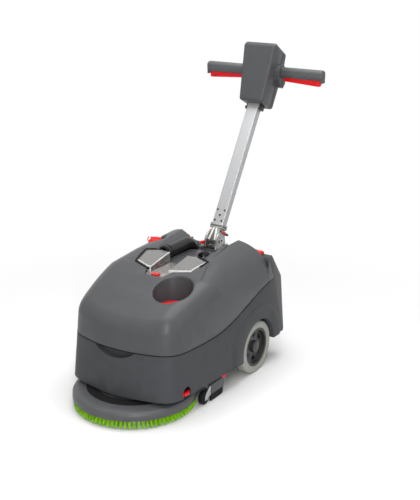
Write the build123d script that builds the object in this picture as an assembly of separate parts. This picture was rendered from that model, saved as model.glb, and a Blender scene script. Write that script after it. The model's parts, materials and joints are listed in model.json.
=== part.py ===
from build123d import *
import os
from math import acos, cos, hypot, pi, radians, sin, tan

# Compact walk-behind wet and dry floor scrubber with a folding handle column.
# Millimetres, +Z up, floor at z = 0, origin under the middle of the machine.
# The machine drives towards -Y; the operator stands at +Y; right means +X.
# Lengths named *_BACK are measured rearwards from the axis of the round brush.

# Overall places
BRUSH_Y = -336.5
CLEARANCE = 0.3
RUNNING_FIT = 0.05
WALL = 4.0

# Body outline seen from above, at the height of the skirt
NOSE_BACK = -123.0
NOSE_RAKE = 0.0875
NOSE_BOW = 20.0
NOSE_FLAT_HALF = 130.0
CORNER_HALF = 197.0
CORNER_SET = 51.0
CORNER_RAKE = 0.05
SHOULDER_HALF = 216.0
SHOULDER_SET = 137.0
MID_HALF = 224.0
MID_BACK = 144.0
BODY_HALF_WIDTH = 229.0
TAIL_HALF = 224.0
SKIRT_Z = 75.0
REAR_SKIRT_Z = 95.0
SKIRT_STEP_BACK = 412.0
# Sideways and rearward share of an inset at three corners of the outline
NOSE_FLAT_DRAW = (0.32, 0.95)
CORNER_DRAW = (0.74, 0.67)
SHOULDER_DRAW = (0.97, 0.2)

# Side lines of the body: parting seam, tank top and tail
SEAM = 2.4
SPLIT_FRONT_Z = 228.0
SPLIT_TAIL_BACK = 518.0
SPLIT_TAIL_Z = 322.0
SPLIT_MARKS = [(-180.0, 0.0), (60.0, -0.02), (180.0, 0.06), (300.0, 0.37), (420.0, 0.78)]
SEAL_RIB = 5.0
SEAL_RIB_H = 14.0
TAIL_FOOT_BACK = 598.0
TAIL_LEAN = 0.457
TANK_NOSE_Z = 361.0
TANK_LID_Z = 410.0
TANK_CREST_Z = 460.0
TANK_CREST_BACK = 430.0
TANK_ROUNDING = 65.0
# Rounding of the tank's shoulders behind the cup, as (back, drop under the crest, radius)
SHOULDER_ROUNDING = [(140.0, 46.0, 62.0), (260.0, 18.0, 100.0), (480.0, -2.0, 126.0)]
REAR_TOP_Z = 400.0
REAR_SHELF_BACK = 530.0
REAR_END_BACK = 613.0
REAR_END_Z = 306.0
REAR_ROUNDING = 10.0
TAIL_TAPER = (0.974, 0.215, 0.071)

# Finger recess under the front edge of the tank, and the corner notches
RECESS_R = 128.0
RECESS_DROP = 28.0
RECESS_DEPTH = 22.0
NOTCH_R = 20.0
NOTCH_Z = 90.0
NOTCH_PLACE = (220.6, -8.0)
NOTCH_TURN = 5.0
RELEASE_SIZE = (8.0, 48.0, 12.0)
RELEASE_TAB = (10.0, 22.0, 8.0)
RELEASE_DROP = 7.0
RELEASE_SET = 11.2
BODY_BOSS_R = 9.0

# Wheels and axle
WHEEL_R = 95.0
WHEEL_BACK = 412.0
WHEEL_WIDTH = 42.0
WHEEL_FACE_X = 225.0
HUB_R = 70.0
HUB_RIM = 9.0
HUB_BOSS_R = 22.0
HUB_SPOKES = 6
HUB_FACE_SET = 2.0
HUB_WEB_SET = 15.0
HUB_WEB_T = 8.0
SPOKE_HALF_TURN = 11.0
HUB_HOLE_ROUNDING = 5.0
TYRE_ROUNDING = 9.0
AXLE_R = 8.0
ARCH_GAP = 10.0
ARCH_R = 157.0
ARCH_FACE_X = 234.5
WELL_X = 160.0

# Brush, deck and drive
BRISTLE_FOOT_R = 206.0
BRISTLE_TOP_R = 193.0
BRISTLE_RING = 34.0
BRISTLE_Z = 30.0
BRISTLE_INNER_R = 62.0
BACK_R = 192.0
BACK_HOLE_R = 50.0
BACK_T = 8.0
DECK_R = 206.0
DECK_T = 5.0
DECK_LOW_Z = 31.0
DECK_TOP_Z = 66.0
DECK_LIP_Z = 48.0
DECK_LIP_ROUNDING = 5.0
DECK_CROWN_R = 120.0
DECK_BOSS_R = 26.0
DECK_BOSS_Z = 50.0
DECK_ROOF_T = 8.0
DECK_ARM_START = 112.0
DECK_ARM_KNEE = 190.0
DECK_ARM_Z = 60.0
DECK_PIVOT_BACK = 232.0
DECK_PIVOT_Z = 90.0
DECK_ARM_X = 80.0
DECK_ARM_T = 14.0
SPINDLE_R = 14.0
GEAR_MODULE = 2.0
GEAR_TEETH = 60
PINION_TEETH = 15
GEAR_WIDTH = 14.0
GEAR_Z = 74.0
GEAR_BACKLASH = 0.3
GEAR_CASE_WALL = 4.0
GEAR_CASE_TOP_Z = 102.0
GEAR_ROOM = 5.0
MOTOR_R = 45.0
MOTOR_H = 105.0
MOTOR_SHAFT_R = 5.0
MOTOR_SHAFT_L = 22.0
MOTOR_ROUNDING = 6.0
FLANGE_RIM = 10.0
SPINDLE_FLANGE_T = 7.0
SPINDLE_COLLAR = 6.0
PRESSURE_ANGLE = 20.0

# Steel frame
RAIL_X = 120.0
RAIL_W = 30.0
RAIL_Z = 81.0
RAIL_H = 36.0
RAIL_FRONT_BACK = 248.0
RAIL_END_BACK = 590.0
CROSS_BACKS = (257.0, 362.0, 485.0, 577.0)
CROSS_W = 18.0
POST_X = 28.0
POST_W = 16.0
POST_D = 24.0
TRAY_T = 4.0
TRAY_Z = 146.0
TRAY_OUT_X = 154.0
TRAY_LEG_HALF = 12.0
BRACKET_T = 6.0
PIVOT_PIN_R = 6.0

# Squeegee
SQUEEGEE_HALF = 217.0
SQUEEGEE_T = 24.0
SQUEEGEE_CENTRE_BACK = 190.0
SQUEEGEE_REAR_BACK = 302.0
SQUEEGEE_TIP_BACK = 132.0
SQUEEGEE_LOW_Z = 28.0
SQUEEGEE_TOP_Z = 62.0
SQUEEGEE_PIVOT_BACK = 335.0
SQUEEGEE_PIVOT_Z = 100.0
SQUEEGEE_ARM_X = 56.0
SQUEEGEE_ARM_T = 12.0
BLADE_T = 4.0
BLADE_GAP = 12.0
BLADE_LOW_Z = 0.8
SPOUT_R = 16.0
SPOUT_TOP_Z = 90.0
CASTER_R = 23.5
CASTER_W = 15.0
CASTER_X = 204.0
CASTER_BACK = 104.0
FORK_T = 3.0
CASTER_PIN_R = 3.5
CASTER_LIFT = 0.5
CASTER_ROUNDING = 3.0
BLADE_INSET = 3.0
SQUEEGEE_ROUNDING = 5.0
SPOUT_WALL = 3.0
HOSE_PLAY = 0.9

# Tank fittings
CUP_X = 106.0
CUP_BACK = 76.0
CUP_R = 65.0
CUP_FLOOR_Z = 325.0
CUP_RIM = 6.0
RIDGE_ROUNDING = 14.0
PLUG_R = 52.0
PLUG_T = 10.0
PLUG_WING = (44.0, 9.0, 9.0)
VALLEY_HALF = 48.0
VALLEY_Z = 404.0
VALLEY_SLOPE = 0.78
SLOT_HALF = 46.0
SLOT_BACK = 426.0
PEDESTAL_HALF = 42.0
FILLER_X = -172.0
FILLER_BACK = 367.0
FILLER_SEAT_R = 38.0
FILLER_SEAT_Z = 416.0
NECK_R = 20.0
NECK_BORE_R = 16.0
CAP_R = 27.0
CAP_H = 20.0
CAP_TOP_R = 18.0
CAP_SKIRT = 6.5
CAP_GRIP = (44.0, 6.0, 4.0)
NECK_H = 12.0
NECK_FLANGE_R = 26.0
NECK_FLANGE_T = 2.0
STRAP_R = 1.6

# Clear separator lid: right-hand half of its outline as (x, back)
LID_OUTLINE = [(34.0, 115.0), (50.0, 150.0), (108.0, 172.0), (122.0, 244.0), (72.0, 266.0), (36.0, 262.0)]
LID_CHANNEL_HALF = 36.0
LID_SEAT_Z = 396.0
FLANGE_T = 2.0
SEAL_T = 3.0
LID_WALL = 3.0
LID_FRONT_Z = 426.0
LID_SLOPE = 0.18
LID_SLOPE_BACK = 172.0
LID_MARGIN = 2.0
LID_PORT_R = 13.0
LID_PORT_Z = 425.0
TUB_RIM = 12.0
TUB_FLOOR_Z = 268.0
TUB_WALL = 3.0
FLOAT_X = -66.0
FLOAT_BACK = 222.0
FLOAT_R = 15.0
FLOAT_Z = 403.0
CAGE_R = 21.0
CAGE_POST_R = 2.0
CAGE_FLOOR_T = 3.0
FLOAT_FLAT = 1.0
LID_TAB = (26.0, 20.0, 8.0)
ELBOW_X = -65.0
ELBOW_Z = 431.0
ELBOW_R = 21.0
ELBOW_WALL = 3.0
ELBOW_FRONT_BACK = 266.3
ELBOW_DOWN_BACK = 444.0
ELBOW_BEND_R = 46.0
ELBOW_FOOT_Z = 372.0
CUFF_R = 24.0
CUFF_L = 26.0
DUCT_R = 22.5
TROUGH_R = 26.5

# Column, its hinge and the base
PIVOT_BACK = 488.0
PIVOT_Z = 432.0
COLUMN_LEAN = 31.5
COLUMN_W = 46.0
COLUMN_D = 29.0
COLUMN_WALL = 2.5
COLUMN_START = 48.0
COLUMN_END = 596.0
COLLAR_T = 2.5
COLLAR_START = 40.0
COLLAR_END = 58.0
FOOT_PLUG_END = 92.0
FOOT_HALF = 17.8
FOOT_R = 18.0
CHEEK_IN = 18.5
CHEEK_T = 6.5
CHEEK_R = 29.0
BASE_HALF = 40.0
BASE_FRONT_BACK = 452.0
BASE_END_BACK = 524.0
BASE_T = 8.0
HINGE_PIN_R = 6.0
PLUNGER_REAR = 22.5
PLUNGER_START = 14.0
PLUNGER_R = 2.6
BOLT_R = 4.0
BOLT_HEAD_R = 6.5
BOLT_HEAD_H = 5.0
BOLT_INSET = 7.5
PIN_HEAD = 3.0
PIN_HEAD_T = 4.0
PLUNGER_SPREAD = 8.0
PLUNGER_BAR = 8.0
LEVER_HINGE_BACK = BASE_FRONT_BACK + 22
LEVER_HINGE_Z = REAR_TOP_Z + BASE_T + 14
LEVER_X = -CHEEK_IN - CHEEK_T - 5.5
LEVER_HALF = 4.0
LEVER_BOSS_R = 7.0
TUBE_SCREWS = [(-14.0, 68.0), (14.0, 68.0), (0.0, 88.0), (-14.0, 108.0), (14.0, 108.0)]
SCREW_R = 3.4
SCREW_H = 2.0

# Handle head, side outline as (back, z), and its grips
HEAD_OUTLINE = [(723.0, 898.0), (784.0, 1090.0), (800.0, 1098.0),
                (880.0, 1050.0), (872.0, 996.0), (812.0, 852.0)]
HEAD_LOW_HALF = 45.0
HEAD_TOP_HALF = 67.0
HEAD_ROUNDING = 10.0
HEAD_WALL = 3.5
BAR_BACK = 825.0
BAR_Z = 992.0
BAR_R = 11.0
BAR_HALF = 236.0
# Boss on each side of the head where the bar comes out, as (back, z) from the bar
BOSS_OUTLINE = [(-30.0, 6.0), (-17.0, 25.0), (14.0, 25.0), (30.0, 4.0), (24.0, -44.0), (8.0, -60.0),
                (-10.0, -52.0), (-26.0, -22.0)]
BOSS_ROUNDING = 4.0
BOSS_CORE_R = 19.0
COLLAR_X = 76.0
GRIP_END_X = 243.0
GRIP_D = 34.0
GRIP_H = 38.0
GRIP_ROUNDING = 14.0
GRIP_SLOT_HALF = 7.2
GRIP_SLOT_INTO_BORE = 1.5
GRIP_END_ROUNDING = 7.0
BAR_WALL = 2.0
TRIGGER_IN_X = 84.0
TRIGGER_OUT_X = 232.0
TRIGGER_T = 13.0
TRIGGER_H = 22.0
TRIGGER_IN_H = 13.0
TRIGGER_LIFT = 1.0
TRIGGER_END_R = 6.0
TRIGGER_PLAY = 2.0
PANEL_W = 96.0
PANEL_L = 66.0
PANEL_T = 3.0
PANEL_PROUD = 1.0
PANEL_CORNER_R = 8.0
DISPLAY_SIZE = (30.0, 22.0, 1.6)
DISPLAY_UP = 12.0
BUTTON_R = 9.0
BUTTON_X = 30.0
BUTTON_PROUD = 3.5
BUTTON_DEPTH = 8.0
BUTTON_ROOM = 2.0

# Rear housing contents
BATTERY_X = 97.0
BATTERY_SIZE = (108.0, 143.0, 148.0)
BATTERY_FRONT_BACK = 474.0
BATTERY_GRIP_R = 34.0
BATTERY_GRIP_SHARE = 0.72
BATTERY_ROUNDING = 7.0
BATTERY_DOOR_GAP = 1.0
BOARD_HALF = 32.0
BOARD_Z = (180.0, 285.0)
BOARD_T = 2.0
STANDOFF_L = 10.0
STANDOFF_R = 3.5
STANDOFF_INSET = 7.0
LARGE_CHIP = (28.0, 9.0, 40.0)
SMALL_CHIP = (26.0, 6.0, 20.0)
VAC_X = -97.0
VAC_BACK = 545.0
VAC_R = 58.0
VAC_CHAMBER_H = 30.0
VAC_MOTOR_R = 42.0
VAC_MOTOR_H = 100.0
VAC_SHAFT_R = 4.0
FAN_R = 50.0
FAN_BLADES = 9
FAN_BLADE = (34.0, 2.0, 14.0)
FAN_BLADE_R = 28.0
FAN_BLADE_TURN = 35.0
FAN_BOSS_R = 12.0
FAN_LIFT = 6.0
FAN_PLATE_T = 2.0
VAC_INLET_R = 20.0
VAC_BEARING_L = 20.0
HOSE_R = 20.0
HOSE_CUFF_R = 26.0
HOSE_CUFF_L = 28.0
HOSE_HIGH_Z = 222.0
HOSE_LOW_Z = 172.0
HOSE_BEND_R = 34.0
LATCH_X = 135.0
LATCH_W = 30.0
LATCH_FRONT_BACK = 486.0
LATCH_PIVOT_BACK = 516.0
LATCH_BARREL_R = 6.0
LATCH_PIN_R = 2.5
LATCH_HINGE_Z = REAR_TOP_Z + 8
LATCH_EAR_T = 4.0
LATCH_EAR_HALF = 7.0
LATCH_EAR_GAP = 0.5

WIDE = 300.0
TALL = 700.0


def back(distance):
    """Y of a place that lies this far behind the brush axis."""
    return BRUSH_Y + distance


def side_face(points):
    """Flat face in the side view from (back, z) corners."""
    corners = [(back(b), z) for b, z in points]
    return Plane.YZ * make_face(Polyline(*corners, close=True))


def across(points, half_width, centre_x=0.0):
    """Side-view outline pulled out across the machine."""
    return Pos(centre_x, 0, 0) * extrude(side_face(points), amount=half_width, both=True)


def turned(points):
    """Ring turned about Z from (radius, z) corners."""
    return revolve(Plane.XZ * make_face(Polyline(*points, close=True)), Axis.Z)


def rod(x0, x1, distance, z, radius):
    """Round bar along X between two places."""
    return Pos((x0 + x1) / 2, back(distance), z) * Rot(0, 90, 0) * Cylinder(radius, abs(x1 - x0))


def block(x0, x1, b0, b1, z0, z1):
    """Box between two corners, with its length given behind the brush axis."""
    size = (x1 - x0, b1 - b0, z1 - z0)
    return Pos((x0 + x1) / 2, back((b0 + b1) / 2), (z0 + z1) / 2) * Box(*size)


def upright(x, distance, z0, z1, radius):
    """Vertical round bar."""
    return Pos(x, back(distance), (z0 + z1) / 2) * Cylinder(radius, z1 - z0)


def both_sides(shape):
    """The shape and its mirror image on the other side of the machine."""
    return shape + mirror(shape, Plane.YZ)


# Body mouldings: one outer form, cut into lower body, tank and rear housing

def outline(z, inset):
    """Plan outline of the body at one height, drawn in by an inset."""
    height = z - SKIRT_Z
    nose = back(NOSE_BACK) + NOSE_RAKE * height
    corner_half = CORNER_HALF - CORNER_RAKE * height
    shoulder_half = SHOULDER_HALF - CORNER_RAKE / 3 * height
    half = [
        (0.0, nose + inset),
        (NOSE_FLAT_HALF - NOSE_FLAT_DRAW[0] * inset, nose + NOSE_BOW + NOSE_FLAT_DRAW[1] * inset),
        (corner_half - CORNER_DRAW[0] * inset, nose + CORNER_SET + CORNER_DRAW[1] * inset),
        (shoulder_half - SHOULDER_DRAW[0] * inset, nose + SHOULDER_SET + SHOULDER_DRAW[1] * inset),
        (MID_HALF - inset, back(MID_BACK)),
        (BODY_HALF_WIDTH - inset, back(WHEEL_BACK - 110)),
        (BODY_HALF_WIDTH - inset, back(WHEEL_BACK + 10)),
        (TAIL_HALF - inset, back(REAR_END_BACK + 150)),
    ]
    other_half = [(-x, y) for x, y in reversed(half)]
    curve = Spline(*(other_half + half[1:]), tangents=[(-0.03, -1), (-0.03, 1)])
    closing = Line(half[-1], other_half[0])
    return Pos(0, 0, z) * Face(Wire([curve, closing]))


def walls(inset=0.0):
    """Solid with the body's raked side walls, drawn in by an inset."""
    return loft([outline(SKIRT_Z - 30, inset), outline(TANK_CREST_Z + 60, inset)], ruled=True)


def under_curve(points):
    """Everything below a smooth side-view line."""
    line = [(back(b), z) for b, z in points]
    curve = Spline(*line)
    first, last = line[0], line[-1]
    closing = Polyline(last, (last[0], 0.0), (first[0], 0.0), first)
    return extrude(Plane.YZ * Face(Wire([curve, *closing.edges()])), amount=WIDE, both=True)


def split_line(lift):
    """Parting line between lower body and tank, moved up by a lift."""
    rise = SPLIT_TAIL_Z - SPLIT_FRONT_Z
    ends = [(SPLIT_TAIL_BACK, 1.0), (SPLIT_TAIL_BACK + 130, 1.15)]
    return [(b, SPLIT_FRONT_Z + rise * share + lift) for b, share in SPLIT_MARKS + ends]


def tank_top_line(drop):
    """Top of the tank along its ridges, lowered by a wall."""
    return [
        (-150.0, TANK_NOSE_Z - 65 - drop),
        (-15.0, TANK_NOSE_Z - drop),
        (60.0, TANK_NOSE_Z + 31 - drop),
        (117.0, TANK_LID_Z - drop),
        (240.0, TANK_LID_Z + 28 - drop),
        (330.0, TANK_CREST_Z - 10 - drop),
        (TANK_CREST_BACK, TANK_CREST_Z - drop),
        (TANK_CREST_BACK + 90, TANK_CREST_Z + 3 - drop),
        (TANK_CREST_BACK + 370, TANK_CREST_Z + 4 - drop),
    ]


def tank_form(inset):
    """Rounded upper form of the body, drawn in by an inset."""
    form = walls(inset) & under_curve(tank_top_line(inset))
    rim = [e for e in form.edges() if e.bounding_box().min.Z > SPLIT_FRONT_Z + 20 and e.length > 600]
    form = fillet(rim, TANK_ROUNDING - inset)
    shaving = shoulder_shaving(inset)
    return form - shaving - mirror(shaving, Plane.YZ)


def shoulder_shaving(inset):
    """What the growing rounding takes off the tank's right shoulder."""
    corners, cores = [], []
    for distance, drop, radius in SHOULDER_ROUNDING:
        middle = (BODY_HALF_WIDTH - radius, back(distance), TANK_CREST_Z - drop - radius)
        section = Plane(origin=middle, x_dir=(1, 0, 0), z_dir=(0, -1, 0))
        corners.append(section * Pos(radius, radius) * Rectangle(2 * radius, 2 * radius))
        cores.append(section * Circle(radius - inset))
    return loft(corners, ruled=True) - loft(cores, ruled=True)


def before_tail(shift):
    """Everything in front of the slanted tail seam, moved forward by a shift."""
    slope = (TAIL_FOOT_BACK - SPLIT_TAIL_BACK) / (SPLIT_TAIL_Z - REAR_SKIRT_Z)
    corners = [
        (-WIDE, 0.0),
        (TAIL_FOOT_BACK + slope * REAR_SKIRT_Z - shift, 0.0),
        (SPLIT_TAIL_BACK - shift, SPLIT_TAIL_Z),
        (SPLIT_TAIL_BACK - TAIL_LEAN * (TALL - SPLIT_TAIL_Z) - shift, TALL),
        (-WIDE, TALL),
    ]
    return across(corners, WIDE)


def arch(sign):
    """Raised flare around one wheel opening."""
    disc = rod(WELL_X, ARCH_FACE_X, WHEEL_BACK, WHEEL_R, ARCH_R)
    rim = disc.edges().filter_by(GeomType.CIRCLE).sort_by(Axis.X)[-1]
    disc = fillet(rim, ARCH_FACE_X - BODY_HALF_WIDTH + 6)
    return disc if sign > 0 else mirror(disc, Plane.YZ)


def notch_frame(sign):
    """Outward-facing plane at a front lower corner."""
    x, b = NOTCH_PLACE
    outward = (sign * cos(radians(NOTCH_TURN)), -sin(radians(NOTCH_TURN)), 0)
    return Plane(origin=(sign * x, back(b), NOTCH_Z), x_dir=(outward[1], -outward[0], 0), z_dir=outward)


def make_lower_body():
    opening_r = WHEEL_R + ARCH_GAP
    below_seam = under_curve(split_line(-SEAM / 2))
    outer = walls() + arch(1) + arch(-1)
    shell = outer - walls(WALL)
    for sign in (1, -1):
        shell -= notch_frame(sign) * Cylinder(NOTCH_R, 60)
    rim_ring = walls(WALL - 0.5) - walls(WALL + SEAL_RIB)
    rim_ring &= under_curve(split_line(SEAM / 2 - CLEARANCE))
    rim_ring -= under_curve(split_line(-SEAL_RIB_H))
    pocket = Pos(0, 0, SPLIT_FRONT_Z + RECESS_R - RECESS_DROP) * Rot(90, 0, 0)
    nose_y = back(NOSE_BACK) + NOSE_RAKE * (SPLIT_FRONT_Z - SKIRT_Z)
    backing = Pos(0, nose_y, 0) * pocket * Cylinder(RECESS_R + WALL, 2 * (RECESS_DEPTH + WALL))
    well = rod(WELL_X - WALL, BODY_HALF_WIDTH - 2, WHEEL_BACK, WHEEL_R, opening_r + WALL)
    shell = shell & below_seam
    shell += both_sides(well) & walls(2)
    shell += backing & walls(1) & below_seam
    shell += rim_ring
    shell -= Pos(0, nose_y, 0) * pocket * Cylinder(RECESS_R, 2 * RECESS_DEPTH)
    shell -= both_sides(rod(WELL_X, WIDE, WHEEL_BACK, WHEEL_R, opening_r))
    shell -= both_sides(rod(WELL_X - 2 * WALL, WELL_X + WALL, WHEEL_BACK, WHEEL_R, 2 * AXLE_R))
    for boss_back in (CROSS_BACKS[0] + 12, CROSS_BACKS[3] - 6):
        boss = rod(RAIL_X + RAIL_W / 2, BODY_HALF_WIDTH, boss_back, RAIL_Z + RAIL_H / 2, BODY_BOSS_R)
        shell += both_sides(boss) & walls(1)
    shell = shell & before_tail(0)
    shell -= block(-WIDE, WIDE, -WIDE, SKIRT_STEP_BACK, 0, SKIRT_Z)
    shell -= block(-WIDE, WIDE, SKIRT_STEP_BACK - 1, TALL, 0, REAR_SKIRT_Z)
    return shell


def make_release(sign):
    """Red push tab behind a corner notch."""
    depth, width, height = RELEASE_SIZE
    place = notch_frame(sign) * Pos(0, RELEASE_DROP, -RELEASE_SET)
    tab_depth, tab_width, tab_height = RELEASE_TAB
    plate = place * Pos(0, 0, -depth / 2) * Box(width, height, depth)
    return plate + place * Box(tab_width, tab_height, tab_depth)


def lid_face(grow, z):
    """Whole lid outline, grown by a margin, at one height."""
    right = [(x, back(b)) for x, b in LID_OUTLINE]
    left = [(-x, y) for x, y in reversed(right)]
    flat = make_face(Polyline(*(right + left), close=True))
    grown = offset(flat, amount=grow, kind=Kind.INTERSECTION) if grow else flat
    return Pos(0, 0, z) * grown


def lid_prism(grow, z0, z1):
    return extrude(lid_face(grow, z0), amount=z1 - z0, dir=(0, 0, 1))


def valley(grow):
    """Sloping valley behind the lid, widened by a wall."""
    low = VALLEY_Z - grow
    high = TANK_CREST_Z + 80
    top_half = VALLEY_HALF + grow + (high - low) / VALLEY_SLOPE
    low_half = VALLEY_HALF + grow
    corners = [(-low_half, low), (low_half, low), (top_half, high), (-top_half, high)]
    face = Plane.XZ * make_face(Polyline(*corners, close=True))
    first = back(LID_OUTLINE[-1][1] - 2 - grow)
    return Pos(0, first, 0) * extrude(face, amount=TALL, dir=(0, 1, 0))


def elbow_trough(grow):
    """Round-bottomed groove that the suction pipe lies in."""
    start = LID_OUTLINE[-1][1] - 2 - grow
    end = ELBOW_DOWN_BACK + TROUGH_R + grow
    radius = TROUGH_R + grow
    middle = back((start + end) / 2)
    groove = Pos(ELBOW_X, middle, ELBOW_Z) * Rot(90, 0, 0) * Cylinder(radius, end - start)
    return groove + block(ELBOW_X - radius, ELBOW_X + radius, start, end, ELBOW_Z, TALL)


def suction_pipe(radius, foot_z):
    """Round bar along the suction pipe's way, back from the lid and down."""
    start = (ELBOW_X, back(ELBOW_FRONT_BACK), ELBOW_Z)
    turn = (ELBOW_X, back(ELBOW_DOWN_BACK), ELBOW_Z)
    foot = (ELBOW_X, back(ELBOW_DOWN_BACK), foot_z)
    path = FilletPolyline(start, turn, foot, radius=ELBOW_BEND_R)
    return sweep(Plane(origin=start, z_dir=(0, 1, 0)) * Circle(radius), path=path)


def tank_cuts(grow):
    """Hollows in the tank's outside, each made larger by a wall."""
    cuts = valley(grow) + elbow_trough(grow)
    cuts += block(-SLOT_HALF - grow, SLOT_HALF + grow, SLOT_BACK - grow, TALL, 0, TALL)
    cuts += upright(CUP_X, CUP_BACK, CUP_FLOOR_Z - grow, TALL, CUP_R + grow)
    cuts += upright(FILLER_X, FILLER_BACK, FILLER_SEAT_Z - grow, TALL, FILLER_SEAT_R + grow)
    cuts += lid_prism(LID_MARGIN + grow, LID_SEAT_Z - grow, TALL)
    cuts += upright(ELBOW_X, ELBOW_DOWN_BACK, 0, TALL, DUCT_R + grow)
    return cuts + suction_pipe(DUCT_R + grow, 0)


def cup_rim(form):
    """Edges where the cup recess meets the tank's top."""
    centre = Vector(CUP_X, back(CUP_BACK), 0)
    rim = []
    for edge in form.edges().filter_by(GeomType.BSPLINE):
        middle = edge @ 0.5
        if abs(hypot(middle.X - centre.X, middle.Y - centre.Y) - CUP_R) < 0.5:
            rim.append(edge)
    return rim


def ridge_edges(form):
    """Long edges where the valley's slopes meet the tank's top."""
    crest = TANK_CREST_Z - 20
    ridges = []
    for edge in form.edges():
        middle = edge @ 0.5
        if middle.Z > crest and edge.length > SHOULDER_SET and abs(middle.X) < CORNER_HALF:
            ridges.append(edge)
    return ridges


def make_tank():
    outer = tank_form(0) - under_curve(split_line(SEAM / 2))
    outer = (outer & before_tail(CLEARANCE)) - tank_cuts(0)
    outer = fillet(cup_rim(outer), CUP_RIM)
    outer = fillet(ridge_edges(outer), RIDGE_ROUNDING)
    hollow = tank_form(WALL) - under_curve(split_line(SEAM / 2 + WALL))
    hollow = (hollow & before_tail(CLEARANCE + WALL)) - tank_cuts(WALL)
    tank = outer - hollow
    tank -= lid_prism(LID_MARGIN - TUB_RIM, LID_SEAT_Z - 2 * WALL, LID_SEAT_Z + 1)
    tank -= upright(FILLER_X, FILLER_BACK, FILLER_SEAT_Z - 2 * WALL, FILLER_SEAT_Z + 1, NECK_R)
    return tank


def make_tub():
    """Inner tub that takes the dirty water, hung from its flange."""
    grow = LID_MARGIN - TUB_RIM - 1
    flange = lid_prism(LID_MARGIN - 1, LID_SEAT_Z, LID_SEAT_Z + FLANGE_T)
    pan = lid_prism(grow, TUB_FLOOR_Z, LID_SEAT_Z + FLANGE_T)
    hollow = lid_prism(grow - TUB_WALL, TUB_FLOOR_Z + TUB_WALL, TALL)
    return flange + pan - hollow


def make_seal():
    low = LID_SEAT_Z + FLANGE_T
    ring = lid_prism(LID_MARGIN - 1, low, low + SEAL_T)
    return ring - lid_prism(LID_MARGIN - TUB_RIM, low - 1, TALL)


def lid_under(drop):
    """Everything below the sloping tops of the lid's wings."""
    slope_z = LID_FRONT_Z - drop
    return across([(-WIDE, 0), (WIDE, 0), (WIDE, slope_z + LID_SLOPE * (WIDE - LID_SLOPE_BACK)),
                   (-WIDE, slope_z - LID_SLOPE * (WIDE + LID_SLOPE_BACK))], WIDE)


LID_LOW_Z = LID_SEAT_Z + FLANGE_T + SEAL_T
CHANNEL_Z = LID_LOW_Z + LID_WALL


def make_lid():
    form = lid_prism(0, LID_LOW_Z, TALL) & lid_under(0)
    form -= block(-LID_CHANNEL_HALF, LID_CHANNEL_HALF, 0, WIDE, CHANNEL_Z, TALL)
    form -= block(-WIDE, WIDE, 0, LID_OUTLINE[1][1], CHANNEL_Z, TALL)
    corners = [e for e in form.edges().filter_by(Axis.Z) if abs(e.center().X) > LID_CHANNEL_HALF + 20]
    form = fillet(corners, 2 * LID_WALL)
    tops = [e for e in form.edges() if e.bounding_box().min.Z > LID_FRONT_Z - 6]
    form = fillet(tops, LID_WALL)
    room = lid_prism(-LID_WALL, LID_LOW_Z - 1, TALL) & lid_under(LID_WALL)
    room -= block(-LID_CHANNEL_HALF - LID_WALL, LID_CHANNEL_HALF + LID_WALL, 0, WIDE, 0, TALL)
    room -= block(-WIDE, WIDE, 0, LID_OUTLINE[1][1] + LID_WALL, 0, TALL)
    port = Pos(ELBOW_X, back(LID_OUTLINE[-2][1]), LID_PORT_Z) * Rot(90, 0, 0) * Cylinder(LID_PORT_R, 30)
    return form - room - port


def make_elbow():
    """Black suction pipe from the lid back and down into the tank's duct."""
    cuff_back = ELBOW_FRONT_BACK + CUFF_L / 2
    cuff = Pos(ELBOW_X, back(cuff_back), ELBOW_Z) * Rot(90, 0, 0) * Cylinder(CUFF_R, CUFF_L)
    pipe = suction_pipe(ELBOW_R, ELBOW_FOOT_Z) + cuff
    return pipe - suction_pipe(ELBOW_R - ELBOW_WALL, ELBOW_FOOT_Z)


def make_cage():
    """Open cage under the lid that keeps the float in place."""
    floor_z = FLOAT_Z - FLOAT_R + FLOAT_FLAT - CLEARANCE
    cage = upright(FLOAT_X, FLOAT_BACK, floor_z - CAGE_FLOOR_T, floor_z, CAGE_R + 2 * CAGE_POST_R)
    for quarter in range(4):
        turn = radians(45 + 90 * quarter)
        x = FLOAT_X + CAGE_R * cos(turn)
        cage += upright(x, FLOAT_BACK + CAGE_R * sin(turn), floor_z - 1, TANK_CREST_Z, CAGE_POST_R)
    return cage & lid_under(LID_WALL + CLEARANCE)


def make_float():
    ball = Pos(FLOAT_X, back(FLOAT_BACK), FLOAT_Z) * Sphere(FLOAT_R)
    low = FLOAT_Z - FLOAT_R + FLOAT_FLAT
    return ball & upright(FLOAT_X, FLOAT_BACK, low, FLOAT_Z + FLOAT_R, FLOAT_R)


def make_lid_latch():
    """Red press tab at the front tip of the lid."""
    start = LID_OUTLINE[0][1] + 2
    wide, long, high = LID_TAB
    barrel_r = (high - CLEARANCE) / 2
    hinge_back = start + long - barrel_r
    tab = block(-wide / 2, wide / 2, start, hinge_back, CHANNEL_Z + CLEARANCE, CHANNEL_Z + high)
    tab = fillet(tab.edges().filter_by(Axis.Z).sort_by(Axis.Y)[:2], 4)
    return tab + rod(-wide / 2, wide / 2, hinge_back, CHANNEL_Z + high - barrel_r, barrel_r)


def make_plug():
    """Red drain plug in the bottom of the cup recess."""
    knob_z = CUP_FLOOR_Z + PLUG_T
    long, thick, high = PLUG_WING
    plug = upright(CUP_X, CUP_BACK, CUP_FLOOR_Z + CLEARANCE, knob_z, PLUG_R)
    plug = fillet(plug.faces().sort_by(Axis.Z)[-1].edges(), 3)
    wing = block(CUP_X - long / 2, CUP_X + long / 2, CUP_BACK - thick / 2, CUP_BACK + thick / 2, knob_z - 2,
                 knob_z + high)
    return plug + fillet(wing.edges().filter_by(Axis.Y), 4)


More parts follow.
